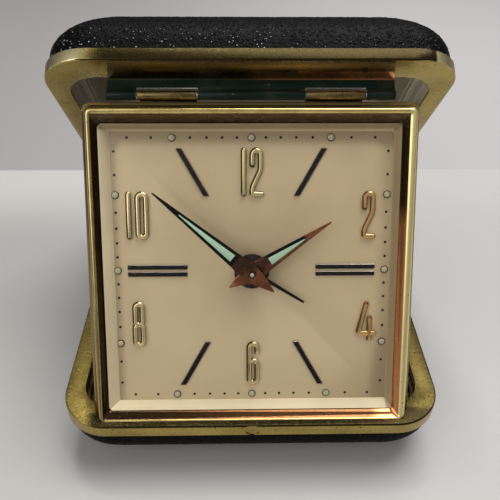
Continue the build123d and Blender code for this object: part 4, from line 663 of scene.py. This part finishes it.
def bezelFinish():
    # u runs to the right, v up and n out of the dial
    pen = startFinish("bezelBrass")
    u, v, n = planes(pen, dialSpace)
    cloud = pen.noise(4.0, 4)
    speck = pen.cells(1.3).ramp(0.06, 0.14, 1.0, 0.0) * (pen.noise(3.0, 2) > 0.52)
    bead = (cloud.ramp(0.4, 0.62) * 0.8).blend(bezelMetal["bead"], bezelMetal["beadShade"])
    # the slope begins where the bead ends, a little farther out on the left and above
    endU, endV = u.ramp(-1, 1, 30.65, 30.3), v.ramp(-1, 1, 30.68, 30.92)
    inside = (endU - u.abs()).ramp(-0.05, 0.05) * (endV - v.abs()).ramp(-0.05, 0.05)
    # painted reflections: the slope is painted dark, with a warm copper tone on the right and along the
    # bottom
    warm = (u.ramp(24, 30) * v.ramp(6, 16, 1.0, 0.0)
            + v.ramp(-30.5, -27, 1.0, 0.0) * u.ramp(-26, 12, 0.12, 0.42)).ramp(0.0, 1.0)
    dust = pen.noise(0.35, 3, 0.7).ramp(0.52, 0.66) * v.ramp(28, 29)
    upper = v.ramp(29.6, 30.4, 0.0, 0.2) + dust * 0.5
    slope = warm.blend(upper.blend(bezelMetal["slope"], bezelMetal["upperSlope"]), bezelMetal["copper"])
    slope = (speck * 0.4).blend(slope, bezelMetal["dust"])
    # bead: a painted highlight makes it paler on the right, and painted shade makes it duller on the left
    right = u.ramp(29.9, 30.1)
    bead = (right * 0.8).blend(bead, bezelMetal["rightBeadHighlight"])
    bead = u.ramp(-32, -24, 0.55, 0.0).blend(bead, bezelMetal["leftBead"])
    # skirt behind the bead, painted dark along the bottom as painted shade, with a dark groove between them
    low = n.ramp(1.2, 1.4, 1.0, 0.0)
    skirt = v.ramp(-31.0, -30.6, 0.9, 0.0).blend(bezelMetal["skirt"], bezelMetal["lowerSkirt"])
    colour = inside.blend(speck.blend(low.blend(bead, skirt), bezelMetal["spot"]), slope)
    groove = n.ramp(1.15, 1.3) * n.ramp(1.5, 1.9, 1.0, 0.0)
    return endFinish(pen, {}, colour=(groove * 0.8).blend(colour, bezelMetal["groove"]),
                     metal=(v.ramp(31.2, 31.6) * low).ramp(0.0, 1.0, 1.0, 0.35),
                     rough=(cloud * 0.5 + speck * 0.5).ramp(0.2, 0.8, 0.12, 0.3) + right * 0.18,
                     normal=(pen.noise(0.9, 3) - speck * 0.6).bump(0.02, 0.35))


def bezelMesh(material):
    # each ring: left, right, top and bottom reach, corner radius, height over the dial plane
    rings = [(29.75, 29.15, 29.15, 29.2, 0.8, 0.05), (32.45, 32.35, 32.9, 31.7, 1.6, 0.05),
             (32.75, 32.65, 33.15, 31.95, 1.8, 0.15), (32.8, 32.7, 33.2, 32.0, 1.8, 0.45),
             (32.6, 32.5, 33.0, 31.9, 1.7, 0.85), (32.15, 32.1, 32.65, 31.6, 1.5, 1.15),
             (31.9, 31.9, 32.45, 31.42, 1.3, 1.35), (31.86, 31.88, 32.35, 31.36, 1.25, 1.7),
             (31.84, 31.86, 32.25, 31.33, 1.2, 2.3), (31.74, 31.8, 32.12, 31.27, 1.15, 2.75),
             (31.55, 31.62, 31.95, 31.15, 1.05, 3.1), (31.3, 31.35, 31.72, 31.02, 0.95, 3.32),
             (31.05, 31.0, 31.45, 30.88, 0.85, 3.38), (30.82, 30.6, 31.18, 30.76, 0.75, 3.3),
             (30.7, 30.35, 31.02, 30.66, 0.7, 3.18), (30.6, 30.2, 30.85, 30.55, 0.7, 3.0),
             (30.2, 29.7, 30.0, 29.95, 0.75, 2.55), (29.82, 29.22, 29.2, 29.25, 0.8, 2.12),
             (29.75, 29.15, 29.15, 29.2, 0.8, 1.95)]
    points, faces = [], []
    steps = bezelMetal["cornerSteps"]
    for left, right, top, bottom, corner, height in rings:
        corners = ((right, top, 0), (-left, top, 90), (-left, -bottom, 180), (right, -bottom, 270))
        for endX, endY, start in corners:
            middleX = endX - corner if endX > 0 else endX + corner
            middleY = endY - corner if endY > 0 else endY + corner
            for k in range(steps + 1):
                angle = radians(start + 90 * k / steps)
                points.append((middleX + corner * cos(angle), middleY + corner * sin(angle), height))
    count = 4 * (steps + 1)
    for k in range(len(rings)):
        faces += bridged(k * count, (k + 1) % len(rings) * count, count)
    piece = meshPiece("bezel_frame", points, faces, material, dialSpace)
    # the lower edge stands flat on the rim
    standing = (build["shell"] + bezelMetal["standoff"]) * mm
    for vert in piece.data.vertices:
        vert.co.z = max(vert.co.z, standing)
    return piece


settle(creased(bezelMesh(bezelFinish()), 50), "bezel")
print("bezel finished")

# cream border and dial
cream = {"border": (0.74, 0.63, 0.43), "borderShade": (0.66, 0.56, 0.38), "dial": (0.56, 0.445, 0.27),
         "dialShade": (0.50, 0.395, 0.235), "under": (0.34, 0.255, 0.15), "speck": (0.74, 0.68, 0.56),
         "glow": (0.72, 0.59, 0.38), "slopeFrom": 28.6, "stepFoot": 0.12, "stepShare": 0.12, "leftShift": 0.5}


def creamFinish(part, rough):
    isDial = part == "dial"
    pen = startFinish("cream" + part.capitalize())
    u, v, n = planes(pen, dialSpace)
    if isDial:
        # painted shade: the dial is darker along its upper, left and right margins, where the frame keeps
        # light from them, and towards the lower right
        under = v.ramp(23.6, 27.2) + u.ramp(-28.0, -25.0, 0.85, 0.0) + u.ramp(23.5, 27.5) * 0.55
        under = under + ((u + 27) * 0.5 - (v + 27) * 0.5).ramp(16, 27, 0.0, 0.55)
    else:
        # painted shade: the border is darker along its top and right
        under = v.ramp(27.5, 28.5) + u.ramp(27.5, 28.5, 0.0, 0.9)
    cloud = pen.noise(14.0, 3)
    dust = pen.noise(0.35, 3, 0.7)
    speck = pen.cells(4.5).ramp(0.02, 0.05, 1.0, 0.0) * (pen.noise(6.0, 2) > 0.58)
    base = (cloud * 0.7 + dust * 0.3).ramp(0.35, 0.65).blend(cream[part + "Shade"], cream[part])
    colour = (speck * 0.35).blend(base, cream["speck"])
    if isDial:
        # painted light: the dial is lighter towards the bottom
        colour = v.ramp(-20, 10, 0.45, 0.12).blend(colour, cream["glow"])
    colour = under.ramp(0.0, 1.0).blend(colour, cream["under"])
    return endFinish(pen, {"Specular IOR Level": 0.35}, colour=colour,
                     rough=dust.ramp(0.3, 0.7, rough, rough + 0.1), normal=dust.bump(0.008, 0.3))


def borderPoint(x, y, z):
    # the step inside the slope is pressed nearly flat, and the left inner edge moves in
    wide, foot = cream["slopeFrom"], cream["stepFoot"]
    if max(abs(x), abs(y)) < wide:
        z = min(z, foot + (z - foot) * cream["stepShare"])
    if -wide < x < -26.0:
        x += cream["leftShift"]
    return x, y, z


border = finished("dial_border", creamFinish("border", 0.4), edge=0.08)
reshaped(border, dialSpace, borderPoint)
finished("dial_plate", creamFinish("dial", 0.42), edge=0.03)

# printed minute dots, one rule for all
dots = {"count": 60, "halfWidth": 27.0, "heightShare": 0.98, "radius": 0.27, "thickness": 0.02, "lift": 0.012,
        "ink": (0.004, 0.0035, 0.003), "wornInk": (0.02, 0.016, 0.012)}


def dotTree(material):
    tree = bpy.data.node_groups.new("minuteTrack", "GeometryNodeTree")
    for name, value in (("Half width", dots["halfWidth"] * mm), ("Height share", dots["heightShare"]),
                        ("Dot radius", dots["radius"] * mm), ("Thickness", dots["thickness"] * mm)):
        tree.interface.new_socket(name, in_out="INPUT", socket_type="NodeSocketFloat").default_value = value
    tree.interface.new_socket("Geometry", in_out="OUTPUT", socket_type="NodeSocketGeometry")
    start = Wire(tree, None)
    inputs = tree.nodes.new("NodeGroupInput")
    half, share, radius, thick = (Wire(tree, inputs.outputs[k]) for k in range(4))
    index = start.node("GeometryNodeInputIndex")
    turn = index * (2 * pi / dots["count"])
    sine, cosine = start.maths("SINE", turn), start.maths("COSINE", turn)
    reach = half / start.maths("MAXIMUM", sine.abs(), cosine.abs())
    place = start.node("ShaderNodeCombineXYZ", {}, {0: reach * sine, 1: reach * cosine * share})
    points = start.node("GeometryNodePoints", {}, {0: dots["count"], 1: place})
    hour = start.maths("MODULO", index, 5.0) < 0.5  # the hours have studs instead
    minutes = start.node("GeometryNodeDeleteGeometry", {"domain": "POINT"}, {0: points, 1: hour})
    disc = start.node("GeometryNodeMeshCylinder", {}, {"Vertices": 14, "Radius": radius, "Depth": thick})
    spread = start.node("GeometryNodeInstanceOnPoints", {}, {"Points": minutes, "Instance": disc})
    real = start.node("GeometryNodeRealizeInstances", {}, {0: spread})
    painted = start.node("GeometryNodeSetMaterial", {}, {"Geometry": real, "Material": material})
    start.node("NodeGroupOutput", {}, {0: painted})
    return tree


def inkFinish():
    pen = startFinish("blackInk")
    wear = pen.noise(0.2, 3)
    colour = wear.ramp(0.4, 0.8).blend(dots["ink"], dots["wornInk"])
    return endFinish(pen, {"Specular IOR Level": 0.15}, colour=colour, rough=wear.ramp(0.3, 0.7, 0.45, 0.6))


ink = inkFinish()
track = meshPiece("minute_dots", [(0, 0, 0), (1, 0, 0), (0, 1, 0)], [(0, 1, 2)], ink)
nodes = track.modifiers.new("track", "NODES")
nodes.node_group = dotTree(ink)
applied(track)
track.data.transform(Matrix.Scale(1 / mm, 4))
track.data.transform(dialSpace @ Matrix.Translation((0, 0, dots["lift"])))
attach(track, "clock")
print("dial and track made")

# hour numbers bent from round brass wire
wire = {"half": 0.56, "lift": 0.34, "height": 9.7, "sides": 10, "digitWidth": 2.75, "upperY": 11.2,
        "lowerY": -11.2, "bright": (0.80, 0.66, 0.36), "warmBright": (0.78, 0.50, 0.22),
        "dark": (0.10, 0.07, 0.022), "warmDark": (0.22, 0.10, 0.03)}


def tube(path, closed):
    # a round wire laid flat on the dial through the points, ends rounded off
    half, lift, sides = wire["half"], wire["lift"], wire["sides"]
    points, faces = [], []
    count = len(path)
    for k, (x, y) in enumerate(path):
        before = path[(k - 1) % count] if closed or k else path[k]
        after = path[(k + 1) % count] if closed or k < count - 1 else path[k]
        dx, dy = after[0] - before[0], after[1] - before[1]
        size = hypot(dx, dy) or 1.0
        stretch = 1.0
        if closed or 0 < k < count - 1:
            d1 = Vector((x - before[0], y - before[1])).normalized()
            d2 = Vector((after[0] - x, after[1] - y)).normalized()
            stretch = min(1 / max(cos(d1.angle(d2, 0) / 2), 0.3), 1.6)
        for s in range(sides):
            angle = 2 * pi * s / sides
            reach = half * stretch * cos(angle) / size
            points.append((x - dy * reach, y + dx * reach, lift + 0.7 * half * sin(angle)))
    for k in range(count if closed else count - 1):
        faces += bridged(k * sides, (k + 1) % count * sides, sides)
    for end, inner in () if closed else ((0, 1), (count - 1, count - 2)):
        x, y = path[end]
        dx, dy = x - path[inner][0], y - path[inner][1]
        size = hypot(dx, dy) / half
        ring = last = end * sides
        for reach, share in ((0.5, 0.87), (0.85, 0.5)):
            first = len(points)
            points += [(x + (px - x) * share + dx / size * reach, y + (py - y) * share + dy / size * reach,
                        lift + (pz - lift) * share) for px, py, pz in points[ring:ring + sides]]
            faces += bridged(last, first, sides)
            last = first
        faces += [(last + s, last + (s + 1) % sides, len(points)) for s in range(sides)]
        points.append((x + dx / size, y + dy / size, lift))
    return points, faces


def arc(x, y, radius, start, end, steps=10):
    return [(x + radius * cos(radians(start + (end - start) * k / steps)),
             y + radius * sin(radians(start + (end - start) * k / steps))) for k in range(steps + 1)]


def numberPaths():
    h = wire["height"] / 2 - wire["half"]
    side = wire["digitWidth"] / 2 - wire["half"]
    upper, lower = wire["upperY"], wire["lowerY"]

    def one(x, y):
        return [([(x, y - h), (x, y + h)], False)]

    def two(x, y):
        return [([(x - side, y + h - side - 2.0)] + arc(x, y + h - side, side, 180, 0)
                 + [(x + side, y + 0.9), (x + side * 0.75, y + 0.1), (x - side * 0.8, y - 2.6),
                    (x - side, y - 3.3), (x - side, y - h + 0.25), (x - side + 0.25, y - h),
                    (x + side + 0.2, y - h)], False)]

    def ring(x, y, width, height):
        r = width / 2 - wire["half"]
        top = height / 2 - wire["half"] - r
        return [(arc(x, y + top, r, 180, 0) + arc(x, y - top, r, 0, -180), True)]

    def six(x, y):
        return (ring(x, y - h / 2 + 0.45, wire["digitWidth"], wire["height"] * 0.6)
                + [([(x - side, y - h + side + 1.0)] + [(x - side, y + h - side)]
                    + arc(x, y + h - side, side, 180, 0) + [(x + side, y + h - side - 1.0)], False)])

    def eight(x, y):
        part = wire["height"] / 2 + wire["half"]
        return (ring(x, y + part / 2 - wire["half"], wire["digitWidth"] - 0.2, part)
                + ring(x, y - part / 2 + wire["half"], wire["digitWidth"], part))

    def four(x, y):
        bent = [(x + 0.1, y + 3.7), (x - 1.38, y - 2.2), (x - 1.25, y - 2.54), (x + 1.85, y - 2.54)]
        return [(bent, False), ([(x + 0.85, y + 0.7), (x + 0.85, y - 3.7)], False)]

    return (one(-1.55, 19.7) + two(0.95, 19.7) + one(-24.4, upper)
            + ring(-21.8, upper, wire["digitWidth"], wire["height"])
            + two(23.4, upper) + eight(-23.1, lower) + four(23.4, -10.85) + six(0.25, -19.8))


def numeralFinish():
    pen = startFinish("numeralBrass")
    u, v, n = planes(pen, dialSpace)
    fine = pen.noise(0.3, 3)
    warm = u.ramp(15, 26)
    light = warm.blend(wire["bright"], wire["warmBright"])
    dark = warm.blend(wire["dark"], wire["warmDark"])
    across = pen.node("ShaderNodeAttribute", {"attribute_name": "across"}, output=2)
    # painted shade: the wire's left flank and its right edge are painted dark
    flankShade = across.ramp(-0.5, -0.15, 1.0, 0.0) + across.ramp(0.7, 0.95, 0.0, 0.7)
    return endFinish(pen, {"Metallic": 1.0}, colour=flankShade.ramp(0.0, 1.0).blend(light, dark),
                     rough=fine.ramp(0.3, 0.7, 0.24, 0.27))


numberBrass = numeralFinish()
parts = []
for index, (path, closed) in enumerate(numberPaths()):
    points, faces = tube(path, closed)
    digit = meshPiece("digit%d" % index, points, faces, numberBrass, dialSpace)
    # across tells the left flank of the wire from the right one
    across = digit.data.attributes.new("across", "FLOAT", "POINT")
    for k, (x, y, z) in enumerate(points):
        middle = path[min(k // wire["sides"], len(path) - 1)]
        across.data[k].value = ((x - middle[0]) - (y - middle[1]) * 0.5) / wire["half"]
    parts.append(digit)
settle(creased(join("dial_numbers", parts), 60), "dial_numerals")

# black batons with ground edges
baton = {"black": (0.003, 0.003, 0.004), "worn": (0.016, 0.013, 0.010)}
batonEdge = {"light": (0.24, 0.215, 0.175), "shade": (0.13, 0.11, 0.09), "rough": (0.25, 0.4)}


def batonFinish():
    pen = startFinish("batonBlack")
    wear = pen.noise(0.5, 3)
    colour = wear.ramp(0.55, 0.75).blend(baton["black"], baton["worn"])
    return endFinish(pen, {"Specular IOR Level": 0.3}, colour=colour, normal=wear.bump(0.01, 0.2),
                     rough=pen.noise(2.0, 2).ramp(0.3, 0.7, 0.16, 0.3))


finished("dial_batons", batonFinish(), edge=0.13, steps=1, edgeMaterial=simpleMetal("batonEdge", **batonEdge))

# pale studs: a dome in a thin dark ring
stud = {"radius": 0.66, "dome": 0.34, "ring": 0.80, "ringHeight": 0.16, "sides": 20,
        "pale": (0.46, 0.44, 0.31), "paleShade": (0.33, 0.31, 0.20)}
studEdge = {"light": (0.16, 0.12, 0.07), "shade": (0.05, 0.04, 0.03), "rough": (0.25, 0.4)}


def studMesh(name, profile, material, place):
    # the profile of radius and height turned about the place
    sides = stud["sides"]
    points, faces = [], []
    for radius, height in profile:
        for s in range(sides):
            angle = 2 * pi * s / sides
            points.append((place[0] + radius * cos(angle), place[1] + radius * sin(angle), height))
    for k in range(len(profile) - 1):
        faces += bridged(k * sides, (k + 1) * sides, sides)
    faces.append(tuple(range((len(profile) - 1) * sides, len(profile) * sides)))
    faces.append(tuple(reversed(range(sides))))
    return meshPiece(name, points, faces, material, dialSpace)


def paleFinish(name, light, shade, glossy):
    pen = startFinish(name)
    grain = pen.noise(0.25, 3, 0.7)
    return endFinish(pen, {"Specular IOR Level": glossy}, colour=grain.ramp(0.35, 0.7).blend(light, shade),
                     rough=grain.ramp(0.3, 0.7, 0.4, 0.6), normal=grain.bump(0.02, 0.5))


studPale = paleFinish("studPaint", stud["pale"], stud["paleShade"], 0.5)
studRing = simpleMetal("studRing", **studEdge)
r, outer, low, top = stud["radius"], stud["ring"], stud["ringHeight"], stud["dome"]
ringProfile = [(outer, 0.01), (outer, low * 0.6), (outer * 0.93, low), (r * 0.9, low)]
domeProfile = [(r * 0.93, 0.1), (r * 0.93, 0.2), (r * 0.8, 0.28), (r * 0.5, top), (r * 0.15, top + 0.02)]
parts = []
for hour in range(12):
    angle = radians(30 * hour)
    reach = dots["halfWidth"] / max(abs(sin(angle)), abs(cos(angle)))
    place = (reach * sin(angle), reach * cos(angle) * dots["heightShare"])
    parts.append(studMesh("ring%d" % hour, ringProfile, studRing, place))
    parts.append(studMesh("dome%d" % hour, domeProfile, studPale, place))
settle(creased(join("hour_studs", parts), 50), "dial_studs")
print("marks made")

# hands: flat blades, copper on the hub, the tip and one side as a painted reflection, and nearly black where
# they turn from the light, as painted shade
hand = {"copper": (0.26, 0.10, 0.042), "shaded": (0.07, 0.03, 0.015), "black": (0.008, 0.007, 0.006),
        "mint": (0.38, 0.58, 0.42), "mintShade": (0.48, 0.66, 0.50), "minuteTurn": 309.8, "hourTurn": 57.1,
        "lumeRoot": 4.0, "lumeWidth": 0.74, "lumeLength": 0.94}
alarmTone = {"light": (0.05, 0.04, 0.035), "shade": (0.02, 0.016, 0.014), "rough": (0.12, 0.3)}
boss = {"within": 3.2, "growth": 1.14}


def handFinish(name, turnAngle, copperFrom, sideSign, length):
    # copperFrom is the distance along the hand where its outer blade turns to the painted copper reflection
    # again
    pen = startFinish(name)
    u, v, n = planes(pen, dialSpace)
    angle = radians(turnAngle)
    reach = u * sin(angle) + v * cos(angle)
    across = u * cos(angle) - v * sin(angle)
    hub = reach.ramp(3.6, 4.6, 1.0, 0.0)
    tip = reach.ramp(copperFrom - 0.5, copperFrom + 0.5)
    lower = (across * sideSign).ramp(0.0, 0.5) * reach.ramp(length - 2, length, 1.0, 0.0)
    share = (hub + tip + lower * 0.8).ramp(0.0, 1.0)
    cloud = pen.noise(1.5, 3)
    # painted shade: the hub is darker towards its upper side
    upper = (v - u * 0.4).ramp(-1.2, 2.2, 0.0, 0.8) * reach.ramp(4.5, 7, 1.0, 0.0)
    copper = (cloud.ramp(0.35, 0.7, 0.0, 0.5) + upper).ramp(0.0, 1.0).blend(hand["copper"], hand["shaded"])
    scratch = pen.noise(0.2, 3)
    return endFinish(pen, {"Metallic": 0.9}, colour=share.blend(hand["black"], copper),
                     rough=scratch.ramp(0.3, 0.7, 0.2, 0.36), normal=scratch.bump(0.01, 0.3))


mint = paleFinish("mintLume", hand["mint"], hand["mintShade"], 0.3)
for name, copperFrom, sideSign, length in (("minute", 60, -1, 4.6), ("hour", 12.8, 1, 18.6)):
    metal = handFinish(name + "HandMetal", hand[name + "Turn"], copperFrom, sideSign, length)
    finished(name + "_hand", metal)
for name in ("minute", "hour"):
    # the paint fills the middle of the blade and leaves its edges dark
    paint = finished(name + "_hand_lume", mint, edge=0.04)
    root, wide, long = hand["lumeRoot"], hand["lumeWidth"], hand["lumeLength"]
    reshaped(paint, dialSpace @ Matrix.Rotation(radians(-hand[name + "Turn"]), 4, "Z"),
             lambda x, y, z: (x * wide, root + (y - root) * long, z))
alarmHand = finished("alarm_hand", simpleMetal("alarmHandBlack", **alarmTone), edge=0.05)


def bossPoint(x, y, z):
    # the boss is a little wider than its hub
    growth = boss["growth"] if hypot(x, y) < boss["within"] else 1.0
    return x * growth, y * growth, z


reshaped(alarmHand, dialSpace, bossPoint)
pivot = {"crown": (0.95, 0.9, 0.82), "ring": (0.09, 0.045, 0.026)}
cannon = {"light": (0.10, 0.045, 0.025), "shade": (0.05, 0.025, 0.015), "rough": (0.2, 0.35)}


def pinFinish():
    # a small bright crown, a painted highlight, in a dark ring
    pen = startFinish("pinSteel")
    u, v, n = planes(pen, dialSpace)
    rim = (u * u + v * v).ramp(0.10, 0.2)
    return endFinish(pen, {"Metallic": 1.0}, colour=rim.blend(pivot["crown"], pivot["ring"]),
                     rough=pen.noise(0.3, 2).ramp(0.3, 0.7, 0.12, 0.22))


finished("centre_arbor", pinFinish(), edge=0.12, steps=3)
finished("cannon_pinion", simpleMetal("cannonBronze", **cannon), edge=0.05)
print("hands made")

# crystal: clear, with a soft reflection on its flat only
glass = {"tint": (0.992, 0.99, 0.98), "bend": 1.35, "shine": 0.22, "flatTo": 26.5, "width": 0.957,
         "height": 0.962}


def crystalFinish():
    pen = startFinish("clearCrystal")
    smear = pen.noise(11.0, 3).ramp(0.3, 0.7, 0.02, 0.06)
    mirror = {"Base Color": (1.0, 1.0, 1.0), "Roughness": smear, "Metallic": 1.0}
    shader = pen.node("ShaderNodeBsdfPrincipled", {}, mirror)
    clear = pen.node("ShaderNodeBsdfTransparent", {}, {0: glass["tint"]})
    edge = pen.node("ShaderNodeFresnel", {}, {"IOR": glass["bend"]})
    u, v, n = planes(pen, dialSpace)
    end = glass["flatTo"]
    flat = u.abs().ramp(end, end + 0.2, 1.0, 0.0) * v.abs().ramp(end, end + 0.2, 1.0, 0.0)
    whole = pen.node("ShaderNodeMixShader", {}, {0: edge * glass["shine"] * flat, 1: clear, 2: shader})
    pen.node("ShaderNodeOutputMaterial", {}, {"Surface": whole})
    return pen.material


crystal = finished("crystal", crystalFinish(), edge=0.35, steps=3)
reshaped(crystal, dialSpace, lambda x, y, z: (x * glass["width"], y * glass["height"], z))
print("crystal made")

# box, cover and movement
box = {"light": (0.50, 0.40, 0.20), "shade": (0.36, 0.28, 0.13), "rough": (0.25, 0.4), "grain": 0.5}
knob = {"light": (0.60, 0.46, 0.20), "shade": (0.38, 0.28, 0.12), "rough": (0.18, 0.34), "grain": 0.3}
plate = {"light": (0.66, 0.50, 0.22), "shade": (0.46, 0.34, 0.15), "rough": (0.2, 0.36)}
boxMetal, knobMetal = simpleMetal("coverLacquer", **box), simpleMetal("knobBrass", **knob)
for node in ("clock_body", "rear_cover"):
    finished(node, boxMetal, edge=0.12, steps=3)
for node in ("time_key", "alarm_key", "time_knob", "alarm_knob", "alarm_stop_button"):
    finished(node, knobMetal, edge=0.1)
finished("cover_screws", steel, edge=0.05)
metals = {"movement_brass": simpleMetal("movementBrass", **plate), "movement_steel": steel,
          "hinge_brass": hingeMetal}
shown = {o.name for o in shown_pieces()}
for name, node in frame["nodes"].items():
    if name in shown and slotOf[name] in metals:
        node.data.materials.clear()
        node.data.materials.append(metals[slotOf[name]])
print("movement finished")
